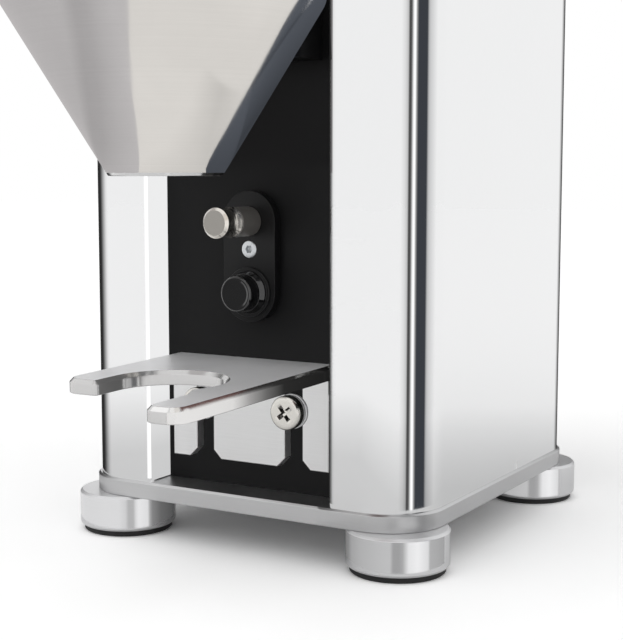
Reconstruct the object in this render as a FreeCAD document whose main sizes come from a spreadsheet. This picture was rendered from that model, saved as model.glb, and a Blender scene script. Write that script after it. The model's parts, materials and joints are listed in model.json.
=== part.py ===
import FreeCAD, Part
import os
from types import SimpleNamespace

import Sketcher

# Burr coffee grinder that grinds into a funnel over a fork for a filter holder. Millimetres.
# +X is the machine's left-to-right direction seen from the front, +Y points to the back, +Z up.
# The origin lies on the floor, under the middle of the machine's outer box. Lengths along Y are
# counted from the middle of the base plate and shifted to the origin when a piece is placed.

SIZES = (
    # Fits
    ("running_gap", 0.3, "gap between round faces that move past each other"),
    ("fit_gap", 0.05, "radial gap of a shaft or screw in its hole"),
    ("slide_gap", 0.1, "gap between flat faces that slide"),
    # Base and feet
    ("base_margin", 1.25, "base and top plate beyond the side covers"),
    ("base_corner", 28.7, "base plate corner radius"),
    ("base_thickness", 9, "base plate thickness"),
    ("plate_chamfer", 1, "chamfer on the outer edges of base and top plate"),
    ("pad_height", 3, "rubber pad under a foot"),
    ("pad_radius", 23.2, "rubber pad radius"),
    ("pad_chamfer", 0.6, "rubber pad lower edge"),
    ("foot_height", 18.5, "foot height"),
    ("foot_radius", 25.3, "foot radius"),
    ("foot_chamfer", 1.2, "foot edge chamfer"),
    ("foot_inset", 19.2, "foot centre inside the edges of the base plate"),
    ("bolt_radius", 4, "radius of the bolts through feet and top plate"),
    ("bolt_head_radius", 6.5, "bolt head radius"),
    ("bolt_head_height", 5, "bolt head height"),
    ("bolt_sink", 6, "depth of the pocket for a bolt head"),
    ("bolt_grip", 18, "length of bolt inside a corner post"),
    ("post_radius", 7, "corner post radius"),
    ("post_hole", 20, "depth of the threaded hole in a post's end"),
    # Covers and panels
    ("cover_width", 197.5, "body width over the side covers"),
    ("cover_corner", 29, "outer corner radius of a side cover"),
    ("sheet", 1.5, "side cover sheet thickness"),
    ("front_flat", 17.75, "flat front of a side cover beside the channel"),
    ("channel_depth", 18.45, "depth of the channel at the front"),
    ("channel_bend", 3, "outer radius of the bend into the channel"),
    ("flange_width", 14, "flange of a side cover behind the channel"),
    ("panel_thickness", 3, "front panel thickness"),
    ("rear_flat", 9.75, "flat back of a side cover beside the rear opening"),
    ("rear_lap", 9, "overlap of rear panel and cover"),
    ("rear_thickness", 2, "rear panel thickness"),
    ("rear_margin", 6, "rear panel's distance from base and top plate"),
    ("screw_radius", 2, "shank radius of the small panel screws"),
    ("screw_head_radius", 3.6, "head radius of the small panel screws"),
    ("screw_head_height", 2.4, "head height of the small panel screws"),
    ("panel_screw_margin", 42, "first and last panel screw from the ends of a cover"),
    ("vent_width", 88, "length of a vent slot"),
    ("vent_height", 4.5, "height of a vent slot"),
    ("vent_pitch", 11, "distance between vent slots"),
    ("vent_low", 90, "lowest vent slot above the base plate"),
    ("vent_count", 18, "number of vent slots"),
    ("top_thickness", 8, "top plate thickness"),
    # Switch plate, hook and start button
    ("switch_margin", 2.5, "switch plate round the start button bezel"),
    ("switch_thickness", 5, "switch plate thickness"),
    ("button_level", 99.6, "start button above the base plate"),
    ("hook_pitch", 35, "hook above the start button"),
    ("switch_screw_pitch", 21.2, "switch plate screw above the start button"),
    ("switch_screw_head", 4.3, "switch plate screw head radius"),
    ("switch_screw_sink", 2.6, "switch plate screw head height"),
    ("switch_screw_socket", 1.9, "switch plate screw socket, centre to corner"),
    ("socket_depth", 1.6, "depth of the switch plate screw socket"),
    ("hook_foot_radius", 7.3, "hook collar next to the plate, radius"),
    ("hook_foot_length", 16.2, "hook collar next to the plate, length"),
    ("hook_ring_radius", 7.6, "ring in front of the hook's collar, radius"),
    ("hook_ring_length", 1.3, "ring in front of the hook's collar, length"),
    ("hook_flare_length", 6, "taper from the ring to the hook's neck"),
    ("hook_neck_radius", 5.3, "hook neck radius"),
    ("hook_neck_length", 4.1, "hook neck length"),
    ("hook_disc_radius", 7.4, "hook end disc radius"),
    ("hook_disc_length", 2.5, "hook end disc length"),
    ("hook_edge", 0.8, "chamfer on the hook's end disc"),
    ("hook_stud_radius", 3, "threaded stud behind the hook"),
    ("bezel_lip", 1.9, "start button bezel beyond its sleeve"),
    ("bezel_height", 1.2, "start button bezel height"),
    ("bezel_collar", 3.8, "collar round the start button in front of the bezel"),
    ("sleeve_wall", 1.4, "wall of the sleeve behind the bezel"),
    ("sleeve_tail", 10, "sleeve length behind the front panel"),
    ("sleeve_floor", 2.5, "sleeve floor thickness"),
    ("button_radius", 8.9, "start button radius"),
    ("button_height", 12.5, "start button above the switch plate"),
    ("button_crown", 1.5, "rounding at the button's edge"),
    ("button_travel", 4, "start button travel"),
    ("spring_wall", 1, "wire of the button spring"),
    ("stem_radius", 3, "button stem radius"),
    ("stem_tip", 3, "button stem beyond the sleeve floor"),
    ("block_width", 22, "switch block width and height"),
    ("block_depth", 12, "switch block depth"),
    # Fork
    ("fork_side_gap", 5, "gap between fork and channel wall"),
    ("fork_thickness", 7, "fork plate thickness"),
    ("fork_chamfer", 1.3, "chamfer round the fork's upper face"),
    ("fork_top", 66, "upper face of the fork above the base plate"),
    ("fork_droop", 0.95, "degrees by which the fork falls towards its tips"),
    ("throat_reach", 74.2, "throat centre in front of the front panel"),
    ("left_prong", 17.5, "left prong's tip in front of the throat centre"),
    ("right_prong", 56, "right prong's tip in front of the throat centre"),
    ("throat_radius", 27, "throat radius"),
    ("tooth_side", 21, "tooth of the right prong, sideways from the throat centre"),
    ("tooth_reach", 11, "tooth of the right prong, in front of the throat centre"),
    ("flare_step", 1.2, "inner edge of the right prong beyond the throat's side"),
    ("flare_reach", 26, "end of the right prong's flare in front of the throat centre"),
    ("tip_outer_round", 5, "outer rounding of a prong's tip"),
    ("tip_inner_round", 2.5, "inner rounding of a prong's tip"),
    ("bracket_inset", 1, "bracket's side inside the fork's side"),
    ("bracket_thickness", 6, "fork bracket thickness"),
    ("bracket_height", 52.3, "fork bracket height"),
    ("slot_pitch", 52.4, "distance between the bracket's slots"),
    ("slot_width", 10, "slot width"),
    ("slot_length", 39.8, "slot length from the bracket's lower edge"),
    ("slot_mouth", 4.5, "chamfer at a slot's mouth"),
    ("slot_headroom", 11, "fork screws below the slots' upper ends"),
    ("fork_screw_radius", 4, "fork screw shank radius"),
    ("fork_head_radius", 8.4, "fork screw head radius"),
    ("fork_head_height", 5, "fork screw head height"),
    ("fork_head_round", 1.6, "rounding at a fork screw head"),
    ("cross_length", 8.4, "arm to arm size of the cross recess"),
    ("cross_width", 1.8, "width of the cross recess"),
    ("cross_depth", 2.6, "depth of the cross recess"),
    ("washer_radius", 8.6, "flat washer radius"),
    ("washer_thickness", 1.6, "flat washer thickness"),
    ("spring_washer_radius", 7.6, "spring washer radius"),
    ("spring_washer_thickness", 2.2, "spring washer thickness"),
    ("nut_bar_end", 13.8, "threaded bar behind the front panel, beyond a fork screw"),
    ("nut_bar_height", 20, "threaded bar height"),
    ("nut_bar_thickness", 8, "threaded bar thickness"),
    # Funnel and chute
    ("funnel_gap", 1.2, "gap between funnel and front panel"),
    ("funnel_low", 156.9, "funnel outlet above the base plate"),
    ("funnel_outlet", 25.5, "funnel outlet radius"),
    ("funnel_radius", 72, "funnel rim radius"),
    ("funnel_cone", 76.2, "height of the funnel's cone"),
    ("funnel_rim", 40, "height of the funnel's straight rim"),
    ("funnel_wall", 1.9, "funnel wall"),
    ("lid_thickness", 3, "funnel cover thickness"),
    ("lid_lip", 8, "depth of the funnel cover's lip"),
    ("lid_knob_radius", 9, "funnel cover knob radius"),
    ("lid_knob_height", 14, "funnel cover knob height"),
    ("chute_width", 77, "chute box width"),
    ("chute_roof", 13, "chute box above the duct's mouth"),
    ("chute_height", 70, "chute box height"),
    ("chute_reach", 41, "chute box in front of the front panel"),
    ("spout_width", 48, "width of the spout through the front panel"),
    ("duct_width", 36, "width of the duct for ground coffee"),
    ("duct_height", 22, "height of the duct for ground coffee"),
    ("duct_rise", 13.4, "duct's mouth above the funnel's cone"),
    ("funnel_screw_margin", 8, "funnel screws beside the duct"),
    ("funnel_screw_drop", 13.1, "funnel screws below the funnel's rim"),
    # Motor
    ("motor_radius", 70, "motor housing radius"),
    ("motor_room", 3.8, "gap between switch block and motor"),
    ("rear_room", 23.25, "space between motor and the back of the covers"),
    ("motor_wall", 4, "motor housing wall"),
    ("leg_height", 15.5, "motor feet above the base plate"),
    ("leg_radius", 9, "motor foot radius"),
    ("leg_inset", 13.4, "motor foot centre inside the motor's outer radius"),
    ("leg_screw_radius", 3, "motor screw radius"),
    ("leg_screw_grip", 10, "motor screw length inside a motor foot"),
    ("leg_screw_head", 5, "motor screw head radius"),
    ("leg_screw_head_height", 5, "motor screw head height"),
    ("bell_thickness", 12, "lower end bell thickness"),
    ("bell_boss", 4, "bearing boss above the lower end bell"),
    ("bell_boss_wall", 8, "wall of the bearing boss"),
    ("top_bell_thickness", 20, "upper end bell thickness"),
    ("bearing_lip", 2, "lip that holds the upper bearing"),
    ("lower_journal", 8.5, "shaft radius in the lower bearing"),
    ("lower_bearing_radius", 20, "lower bearing radius"),
    ("lower_bearing_height", 12, "lower bearing height"),
    ("upper_bearing_radius", 23.5, "upper bearing radius"),
    ("upper_bearing_height", 14, "upper bearing height"),
    ("shaft_radius", 10, "motor shaft radius"),
    ("winding_room", 47, "space between lower end bell and windings"),
    ("core_height", 100, "stator and rotor core height"),
    ("air_gap", 0.5, "gap between rotor and stator"),
    ("stator_depth", 25.45, "stator core from its bore to the motor housing"),
    ("winding_height", 25, "height of a winding head"),
    ("winding_inset", 3.5, "winding heads outside the stator core's bore"),
    ("winding_margin", 5, "gap between winding heads and motor housing"),
    ("fan_margin", 16, "gap between fan and motor housing"),
    ("fan_clear", 7, "gap between windings and fan"),
    ("fan_hub", 18, "fan hub radius"),
    ("fan_height", 14, "fan height"),
    ("fan_plate", 2, "fan disc and blade thickness"),
    ("fan_room", 4, "gap between fan and upper end bell"),
    ("blade_count", 8, "number of fan blades"),
    ("capacitor_radius", 17, "capacitor radius"),
    ("capacitor_height", 80, "capacitor height"),
    ("capacitor_gap", 2.25, "gap between capacitor and right side cover"),
    ("capacitor_y", -48, "capacitor, behind the middle of the base plate"),
    ("terminal_radius", 3, "capacitor terminal radius"),
    ("terminal_height", 9, "capacitor terminal height"),
    # Grinding chamber and burrs
    ("chamber_wall", 13, "grinding chamber wall"),
    ("chamber_floor", 8, "grinding chamber floor"),
    ("chamber_shaft_hole", 14, "shaft hole in the chamber floor, radius"),
    ("boss_gap", 2, "outlet boss in front of motor and chamber"),
    ("outlet_low", 4, "outlet above the chamber floor"),
    ("boss_rim", 6, "rim of the outlet boss above and below the outlet"),
    ("carrier_low", 2, "lower burr carrier above the chamber floor"),
    ("burr_seat_radius", 9, "shaft radius in the lower burr carrier"),
    ("carrier_hub", 16, "lower burr carrier hub radius"),
    ("carrier_hub_height", 20, "lower burr carrier hub height"),
    ("carrier_plate", 10, "lower burr carrier plate thickness"),
    ("carrier_skirt", 4, "lower burr carrier plate above its hub's underside"),
    ("carrier_rim", 1.5, "lower burr carrier beyond the burr"),
    ("burr_radius", 41.5, "burr outer radius"),
    ("burr_bore", 24, "burr inner radius"),
    ("burr_thickness", 10, "burr thickness"),
    ("burr_gap", 0.9, "gap between the burrs"),
    ("tooth_count", 16, "number of cutting grooves in a burr"),
    ("tooth_width", 2.4, "cutting groove width"),
    ("tooth_depth", 2, "cutting groove depth"),
    ("tooth_lead", 12, "how far a cutting groove passes the burr's centre"),
    ("sweeper_reach", 6, "sweeper beyond the lower burr carrier"),
    ("sweeper_gap", 3, "gap between sweepers and chamber wall"),
    ("sweeper_width", 8, "sweeper width"),
    ("sweeper_height", 10, "sweeper height"),
    ("burr_bolt_head", 12, "burr bolt head radius"),
    ("burr_bolt_height", 5, "burr bolt head height"),
    ("burr_bolt_grip", 18, "burr bolt length in the shaft"),
    ("upper_plate", 15, "upper burr carrier plate thickness"),
    ("chamber_headroom", 36.1, "space above the upper burr carrier's plate"),
    ("throat_bore", 38, "bean throat radius in the upper burr carrier"),
    ("throat_wall", 5, "wall of the bean throat"),
    ("throat_rise", 8, "bean throat above the top plate"),
    ("key_width", 8, "key that stops the upper burr carrier from turning, width"),
    ("key_reach", 4, "key in the chamber wall, depth"),
    ("top_hole_gap", 1, "gap between bean throat and top plate"),
    # Adjusting collar and hopper
    ("collar_wall", 21, "adjusting collar round the bean throat"),
    ("collar_height", 26, "adjusting collar height"),
    ("collar_ledge", 12, "height of the collar's threaded part"),
    ("collar_chamfer", 2.5, "chamfer on the collar's edge"),
    ("lever_radius", 4, "collar lever radius"),
    ("lever_seat", 10, "collar lever inside the collar"),
    ("lever_length", 26, "collar lever between collar and knob"),
    ("knob_radius", 9, "lever knob radius"),
    ("knob_length", 20, "lever knob length"),
    ("knob_round", 3.5, "lever knob rounding"),
    ("hopper_bore", 35, "hopper outlet radius"),
    ("neck_wall", 4, "hopper neck wall"),
    ("hopper_neck_length", 13, "hopper neck below its flange"),
    ("hopper_flange", 21, "hopper flange beyond the outlet"),
    ("flange_height", 20, "hopper flange height"),
    ("hopper_radius", 88, "hopper radius"),
    ("hopper_cone", 62, "height of the hopper's cone"),
    ("hopper_wall", 2.5, "hopper wall"),
    ("hopper_side", 110, "height of the hopper's straight side"),
    ("gate_side_lap", 1, "hopper gate beside the outlet"),
    ("gate_thickness", 3.4, "hopper gate thickness"),
    ("gate_level", 11, "hopper gate above the hopper's flange face"),
    ("gate_lap", 2.5, "hopper gate's inner end beyond the outlet"),
    ("gate_tab", 14, "hopper gate outside the flange"),
    ("gate_grip", 7, "thickness of the gate's grip"),
    ("cap_overhang", 2, "hopper lid beyond the hopper"),
    ("cap_thickness", 5, "hopper lid thickness"),
    ("cap_lip", 10, "depth of the hopper lid's lip"),
    ("cap_knob_radius", 13, "hopper lid knob radius"),
    ("cap_knob_height", 13, "hopper lid knob height"),
    # Power inlet at the back
    ("rocker_x", -34, "power switch, to the right of the middle"),
    ("rocker_level", 48, "power switch above the base plate"),
    ("frame_width", 24, "power switch frame width"),
    ("frame_height", 34, "power switch frame height"),
    ("frame_lip", 2.5, "power switch frame outside the panel"),
    ("frame_rim", 2.5, "rim of the power switch frame"),
    ("frame_depth", 16, "power switch body behind the panel"),
    ("rocker_depth", 9, "pocket for the rocker"),
    ("rocker_gap", 0.7, "gap round the rocker"),
    ("rocker_peak", 5, "ridge of the rocker above its pivot"),
    ("rocker_edge", 2.6, "ends of the rocker above its pivot"),
    ("rocker_body", 4, "rocker below its pivot"),
    ("rocker_pin", 1, "rocker pivot radius"),
    ("rocker_tilt", 10, "degrees by which the rocker leans at rest"),
    ("gland_x", 34, "cable gland, to the right of the middle"),
    ("gland_level", 38, "cable gland above the base plate"),
    ("gland_bore", 4, "cable gland bore radius"),
    ("gland_thread", 8, "cable gland thread radius"),
    ("gland_tail", 9, "cable gland behind the panel"),
    ("gland_nut", 12, "cable gland nut radius"),
    ("gland_nut_height", 6, "cable gland nut height"),
    ("gland_dome", 10.5, "cable gland dome radius"),
    ("gland_length", 18, "cable gland outside the panel"),
    ("gland_taper", 3, "taper at the end of the cable gland"),
)

doc = FreeCAD.newDocument("coffee_grinder")
sheet = doc.addObject("Spreadsheet::Sheet", "dims")
for row, (name, value, note) in enumerate(SIZES, start=1):
    sheet.set(f"A{row}", note)
    sheet.set(f"B{row}", str(value))
    sheet.setAlias(f"B{row}", name)
doc.recompute()


class Size:
    """A length that carries its number and the sheet expression behind it."""

    def __init__(self, text, value):
        self.text = text
        self.value = value

    def __add__(self, other):
        other = as_size(other)
        return Size(f"({self.text} + {other.text})", self.value + other.value)

    def __sub__(self, other):
        other = as_size(other)
        return Size(f"({self.text} - {other.text})", self.value - other.value)

    def __rsub__(self, other):
        return as_size(other) - self

    def __mul__(self, other):
        other = as_size(other)
        return Size(f"({self.text} * {other.text})", self.value * other.value)

    def __truediv__(self, other):
        other = as_size(other)
        return Size(f"({self.text} / {other.text})", self.value / other.value)

    def __neg__(self):
        return Size(f"(-1 * {self.text})", -self.value)

    def root(self):
        return Size(f"sqrt({self.text})", self.value ** 0.5)

    __radd__ = __add__
    __rmul__ = __mul__


def as_size(thing):
    """Turns a plain number into a Size and leaves a Size as it is."""
    return thing if isinstance(thing, Size) else Size(repr(thing), thing)


def larger(first, second):
    return Size(f"max({first.text}; {second.text})", max(first.value, second.value))


d = SimpleNamespace(**{name: Size(f"dims.{name}", float(sheet.get(name))) for name, _, _ in SIZES})
nodes = []

# How a piece's own axes lie in the machine: its Z up, back, front or to the right.
UP = FreeCAD.Rotation()
BACK = FreeCAD.Rotation(FreeCAD.Vector(1, 0, 0), -90)
FRONT = FreeCAD.Rotation(FreeCAD.Vector(1, 0, 0), 90)
ACROSS = FreeCAD.Rotation(FreeCAD.Vector(1, 1, 1), 120)

# The body is as high as the motor and the grinding chamber that stand in it
pad_top = d.pad_height
base_low = pad_top + d.foot_height
base_top = base_low + d.base_thickness
axle_low = base_top + d.leg_height
bell_top = axle_low + d.bell_thickness
core_low = bell_top + d.winding_room + d.winding_height
core_top = core_low + d.core_height
fan_low = core_top + d.winding_height + d.fan_clear
housing_top = fan_low + d.fan_height + d.fan_room
chamber_low = housing_top + d.top_bell_thickness
floor_level = chamber_low + d.chamber_floor
carrier_low = floor_level + d.carrier_low
lower_burr_low = carrier_low + d.carrier_skirt + d.carrier_plate
upper_burr_low = lower_burr_low + d.burr_thickness + d.burr_gap
upper_carrier_low = upper_burr_low + d.burr_thickness
cover_top = upper_carrier_low + d.upper_plate + d.chamber_headroom
cover_height = cover_top - base_top
top_face = cover_top + d.top_thickness

# The body is as deep as the front channel, the start button's switch and the motor need
switch_depth = d.panel_thickness + d.sleeve_tail + d.block_depth
cover_depth = d.channel_depth + switch_depth + d.motor_room + d.motor_radius * 2 + d.rear_room
cover_back = cover_depth / 2
panel_front = d.channel_depth - cover_back
panel_back = panel_front + d.panel_thickness
motor_y = panel_front + switch_depth + d.motor_room + d.motor_radius
rear_face = cover_back + d.rear_thickness
funnel_y = panel_front - d.funnel_gap - d.funnel_radius
front_end = d.funnel_radius - funnel_y
rear_end = rear_face + d.gland_length
shift = (front_end - rear_end) / 2


def bind(obj, prop, size):
    obj.setExpression(prop, as_size(size).text)


def place(obj, x, y, z, rotation=UP):
    """Puts a piece at a point counted from the base plate's middle and the floor."""
    obj.Placement = FreeCAD.Placement(FreeCAD.Vector(0, 0, 0), rotation)
    bind(obj, "Placement.Base.x", x)
    bind(obj, "Placement.Base.y", y + shift)
    bind(obj, "Placement.Base.z", z)
    return obj


def node(label, obj):
    """Names a finished piece, which is written to a file of that name."""
    obj.Label = label
    nodes.append(obj)
    return obj


def box(x, y, z):
    """A block between two places along each axis."""
    obj = doc.addObject("Part::Box", "block")
    for prop, (low, high) in zip(("Length", "Width", "Height"), (x, y, z)):
        bind(obj, prop, high - as_size(low))
    return place(obj, x[0], y[0], z[0])


def rod(radius, length, x, y, z, rotation=UP):
    obj = doc.addObject("Part::Cylinder", "rod")
    bind(obj, "Radius", radius)
    bind(obj, "Height", length)
    return place(obj, x, y, z, rotation)


def join(*pieces):
    obj = doc.addObject("Part::MultiFuse", "joined")
    obj.Shapes = pieces
    return obj


def cut(base, *tools):
    obj = doc.addObject("Part::Cut", "cut")
    obj.Base = base
    obj.Tool = tools[0] if len(tools) == 1 else join(*tools)
    return obj


def group(*pieces):
    """Separate solids that share one node, such as a set of screws."""
    obj = doc.addObject("Part::Compound", "group")
    obj.Links = pieces
    return obj


def origin_plane(body, role):
    return next(feature for feature in body.Origin.OriginFeatures if feature.Role == role)


def new_sketch(body, role):
    sketch = body.newObject("Sketcher::SketchObject", "outline")
    sketch.AttachmentSupport = (origin_plane(body, role), [""])
    sketch.MapMode = "FlatFace"
    return sketch


def fix_point(sketch, line, point, u, v):
    """Ties a point of a sketch to its two coordinates."""
    for kind, axis, size in (("DistanceX", -2, u), ("DistanceY", -1, v)):
        if size.text in ("0", "0.0"):
            sketch.addConstraint(Sketcher.Constraint("PointOnObject", line, point, axis))
        else:
            index = sketch.addConstraint(Sketcher.Constraint(kind, -1, 1, line, point, size.value))
            sketch.setExpression(f"Constraints[{index}]", size.text)


def draw_outline(body, role, points):
    """A closed outline of straight lines through the given points."""
    sketch = new_sketch(body, role)
    points = [(as_size(u), as_size(v)) for u, v in points]
    ends = points[1:] + points[:1]
    for (u, v), (next_u, next_v) in zip(points, ends):
        start = FreeCAD.Vector(u.value, v.value, 0)
        end = FreeCAD.Vector(next_u.value, next_v.value, 0)
        sketch.addGeometry(Part.LineSegment(start, end), False)
    for line, (u, v) in enumerate(points):
        sketch.addConstraint(Sketcher.Constraint("Coincident", line, 2, (line + 1) % len(points), 1))
        fix_point(sketch, line, 1, u, v)
    return sketch


def turned(profile, x, y, z, rotation=UP):
    """A piece turned about its own Z from an outline of radius and height."""
    body = doc.addObject("PartDesign::Body", "turned")
    sketch = draw_outline(body, "XZ_Plane", profile)
    turn = body.newObject("PartDesign::Revolution", "turn")
    turn.Profile = sketch
    turn.ReferenceAxis = (sketch, ["V_Axis"])
    turn.Angle = 360
    return place(body, x, y, z, rotation)


def ring(outer, inner, height, x, y, z, rotation=UP):
    profile = [(inner, 0), (outer, 0), (outer, height), (inner, height)]
    return turned(profile, x, y, z, rotation)


def padded(outline, height):
    """A body raised from an outline. It is placed once it is finished."""
    body = doc.addObject("PartDesign::Body", "padded")
    sketch = draw_outline(body, "XY_Plane", outline)
    pad = body.newObject("PartDesign::Pad", "pad")
    pad.Profile = sketch
    bind(pad, "Length", height)
    doc.recompute()
    return body


def round_corners(body, corners, radius):
    """Rounds the upright edges that stand on the given corners of the outline."""
    corners = [(as_size(u).value, as_size(v).value) for u, v in corners]
    earlier = body.Tip
    names = []
    for number, edge in enumerate(earlier.Shape.Edges, start=1):
        ends = [(vertex.Point.x, vertex.Point.y) for vertex in edge.Vertexes]
        for u, v in corners:
            if len(ends) == 2 and all(abs(x - u) + abs(y - v) < 1e-4 for x, y in ends):
                names.append(f"Edge{number}")
    fillet = body.newObject("PartDesign::Fillet", "rounding")
    fillet.Base = (earlier, names)
    bind(fillet, "Radius", radius)
    doc.recompute()


def chamfer_top(body, size):
    """Breaks all edges of a body's upper face."""
    earlier = body.Tip
    height = earlier.Shape.BoundBox.ZMax
    names = []
    for number, edge in enumerate(earlier.Shape.Edges, start=1):
        if edge.BoundBox.ZMin > height - 1e-4:
            names.append(f"Edge{number}")
    chamfer = body.newObject("PartDesign::Chamfer", "chamfer")
    chamfer.Base = (earlier, names)
    bind(chamfer, "Size", size)
    doc.recompute()


def rectangle(width, depth):
    corners = ((-1, -1), (1, -1), (1, 1), (-1, 1))
    return [(width / 2 * sign_x, depth / 2 * sign_y) for sign_x, sign_y in corners]


def bolt(head_radius, head_height, radius, length):
    """Outline of a bolt with its head's outer face at height 0 and its shank above."""
    shank_end = head_height + length
    return [(0, 0), (head_radius, 0), (head_radius, head_height), (radius, head_height),
            (radius, shank_end), (0, shank_end)]


# Base plate and top plate, with the bolts of feet, posts and motor passing through
base_width = d.cover_width + d.base_margin * 2
base_depth = cover_depth + d.base_margin * 2
foot_x = base_width / 2 - d.foot_inset
foot_y = base_depth / 2 - d.foot_inset
feet = {}
for end, sign_y in (("front", -1), ("rear", 1)):
    for hand, sign_x in (("left", -1), ("right", 1)):
        feet[f"{end}_{hand}"] = (foot_x * sign_x, foot_y * sign_y)
bolt_hole = d.bolt_radius + d.fit_gap
bolt_pocket = d.bolt_head_radius + d.running_gap


def cover_plate(thickness):
    """A plate with rounded corners and broken upper edges."""
    outline = rectangle(base_width, base_depth)
    body = padded(outline, thickness)
    round_corners(body, outline, d.base_corner)
    chamfer_top(body, d.plate_chamfer)
    return body


leg_offset = (d.motor_radius - d.leg_inset) / 2 ** 0.5
motor_legs = [(leg_offset * sign_x, motor_y + leg_offset * sign_y)
              for sign_x in (-1, 1) for sign_y in (-1, 1)]
base_blank = place(cover_plate(d.base_thickness), 0, 0, base_low)
base_holes = [rod(bolt_hole, d.base_thickness, x, y, base_low) for x, y in feet.values()]
leg_hole = d.leg_screw_radius + d.fit_gap
base_holes += [rod(leg_hole, d.base_thickness, x, y, base_low) for x, y in motor_legs]
node("base_plate", cut(base_blank, *base_holes))

throat_outer = d.throat_bore + d.throat_wall
top_blank = place(cover_plate(d.top_thickness), 0, 0, cover_top)
top_holes = [rod(throat_outer + d.top_hole_gap, d.top_thickness, 0, motor_y, cover_top)]
top_holes += [rod(bolt_hole, d.top_thickness, x, y, cover_top) for x, y in feet.values()]
sink_low = top_face - d.bolt_head_height
top_holes += [rod(bolt_pocket, d.bolt_head_height, x, y, sink_low) for x, y in feet.values()]
node("top_plate", cut(top_blank, *top_holes))

# Feet, pads and corner posts on one axis at each corner, held by a bolt from below and one from above
foot_profile = [
    (bolt_pocket, 0), (d.foot_radius - d.foot_chamfer, 0), (d.foot_radius, d.foot_chamfer),
    (d.foot_radius, d.foot_height - d.foot_chamfer), (d.foot_radius - d.foot_chamfer, d.foot_height),
    (bolt_hole, d.foot_height), (bolt_hole, d.bolt_sink), (bolt_pocket, d.bolt_sink),
]
pad_profile = [
    (0, 0), (d.pad_radius - d.pad_chamfer, 0), (d.pad_radius, d.pad_chamfer),
    (d.pad_radius, d.pad_height), (0, d.pad_height),
]
post_profile = [
    (bolt_hole, 0), (d.post_radius, 0), (d.post_radius, cover_height), (bolt_hole, cover_height),
    (bolt_hole, cover_height - d.post_hole), (0, cover_height - d.post_hole),
    (0, d.post_hole), (bolt_hole, d.post_hole),
]
foot_head_low = pad_top + d.bolt_sink - d.bolt_head_height
foot_shank = d.foot_height - d.bolt_sink + d.base_thickness + d.bolt_grip
foot_bolt = bolt(d.bolt_head_radius, d.bolt_head_height, d.bolt_radius, foot_shank)
top_bolt_low = cover_top - d.bolt_grip
top_bolt_neck = d.bolt_grip + d.top_thickness - d.bolt_head_height
top_bolt_end = d.bolt_grip + d.top_thickness
top_bolt = [(0, 0), (d.bolt_radius, 0), (d.bolt_radius, top_bolt_neck),
            (d.bolt_head_radius, top_bolt_neck), (d.bolt_head_radius, top_bolt_end), (0, top_bolt_end)]
for corner, (x, y) in feet.items():
    node(f"foot_{corner}", turned(foot_profile, x, y, pad_top))
    node(f"foot_pad_{corner}", turned(pad_profile, x, y, 0))
node("foot_bolts", group(*[turned(foot_bolt, x, y, foot_head_low) for x, y in feet.values()]))
node("corner_posts", group(*[turned(post_profile, x, y, base_top) for x, y in feet.values()]))
node("top_plate_screws", group(*[turned(top_bolt, x, y, top_bolt_low) for x, y in feet.values()]))

# Side covers: bent sheet with a return into the channel and a flange behind it
side = d.cover_width / 2
channel = side - d.cover_corner - d.front_flat
flange_end = channel + d.flange_width
rear_gap = side - d.cover_corner - d.rear_flat
screw_hole = d.screw_radius + d.fit_gap
flange_screw_x = channel + d.flange_width / 2 + d.sheet / 2
rear_screw_x = rear_gap + d.rear_lap / 2
screw_levels = [base_top + d.panel_screw_margin, base_top + cover_height / 2,
                cover_top - d.panel_screw_margin]
inner_corner = d.cover_corner - d.sheet
inner_bend = d.channel_bend - d.sheet


def side_cover(sign):
    """One cover; sign is 1 for the right-hand one and -1 for the left-hand one."""
    inner_side = side - d.sheet
    inner_front = d.sheet - cover_back
    inner_back = cover_back - d.sheet
    flange_front = panel_front - d.sheet
    outline = [
        (channel, panel_front), (channel, -cover_back), (side, -cover_back), (side, cover_back),
        (rear_gap, cover_back), (rear_gap, inner_back), (inner_side, inner_back),
        (inner_side, inner_front), (channel + d.sheet, inner_front), (channel + d.sheet, flange_front),
        (flange_end, flange_front), (flange_end, panel_front),
    ]
    outline = [(x * sign, y) for x, y in outline]
    body = padded(outline, cover_height)
    round_corners(body, outline[2:4], d.cover_corner)
    round_corners(body, outline[6:8], inner_corner)
    round_corners(body, outline[1:2], d.channel_bend)
    round_corners(body, outline[8:9], inner_bend)
    place(body, 0, 0, base_top)
    front_holes = [rod(screw_hole, d.sheet, flange_screw_x * sign, panel_front, level, FRONT)
                   for level in screw_levels]
    rear_holes = [rod(screw_hole, d.sheet, rear_screw_x * sign, cover_back, level, FRONT)
                  for level in screw_levels]
    return cut(body, *front_holes, *rear_holes)


node("left_side_cover", side_cover(-1))
node("right_side_cover", side_cover(1))

# Front panel, with every hole taken from the piece that goes through it
button_z = base_top + d.button_level
hook_z = button_z + d.hook_pitch
switch_screw_z = button_z + d.switch_screw_pitch
fork_top = base_top + d.fork_top
bracket_low = fork_top - d.bracket_height
fork_screw_z = bracket_low + d.slot_length - d.slot_headroom
fork_screw_x = d.slot_pitch / 2
fork_screw_hole = d.fork_screw_radius + d.fit_gap
hook_hole = d.hook_stud_radius + d.fit_gap
sleeve_bore = d.button_radius + d.running_gap
sleeve_radius = sleeve_bore + d.sleeve_wall
sleeve_hole = sleeve_radius + d.fit_gap
funnel_low = base_top + d.funnel_low
rim_low = funnel_low + d.funnel_cone
outlet_low = floor_level + d.outlet_low
outlet_top = outlet_low + d.duct_height
mouth_low = rim_low + d.duct_rise
mouth_top = mouth_low + d.duct_height
spout = d.spout_width / 2
spout_low = mouth_low - d.boss_rim
spout_top = outlet_top + d.boss_rim
flange_screws = [(flange_screw_x * sign, level) for sign in (-1, 1) for level in screw_levels]
panel_blank = box((-flange_end, flange_end), (panel_front, panel_back), (base_top, cover_top))


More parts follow.
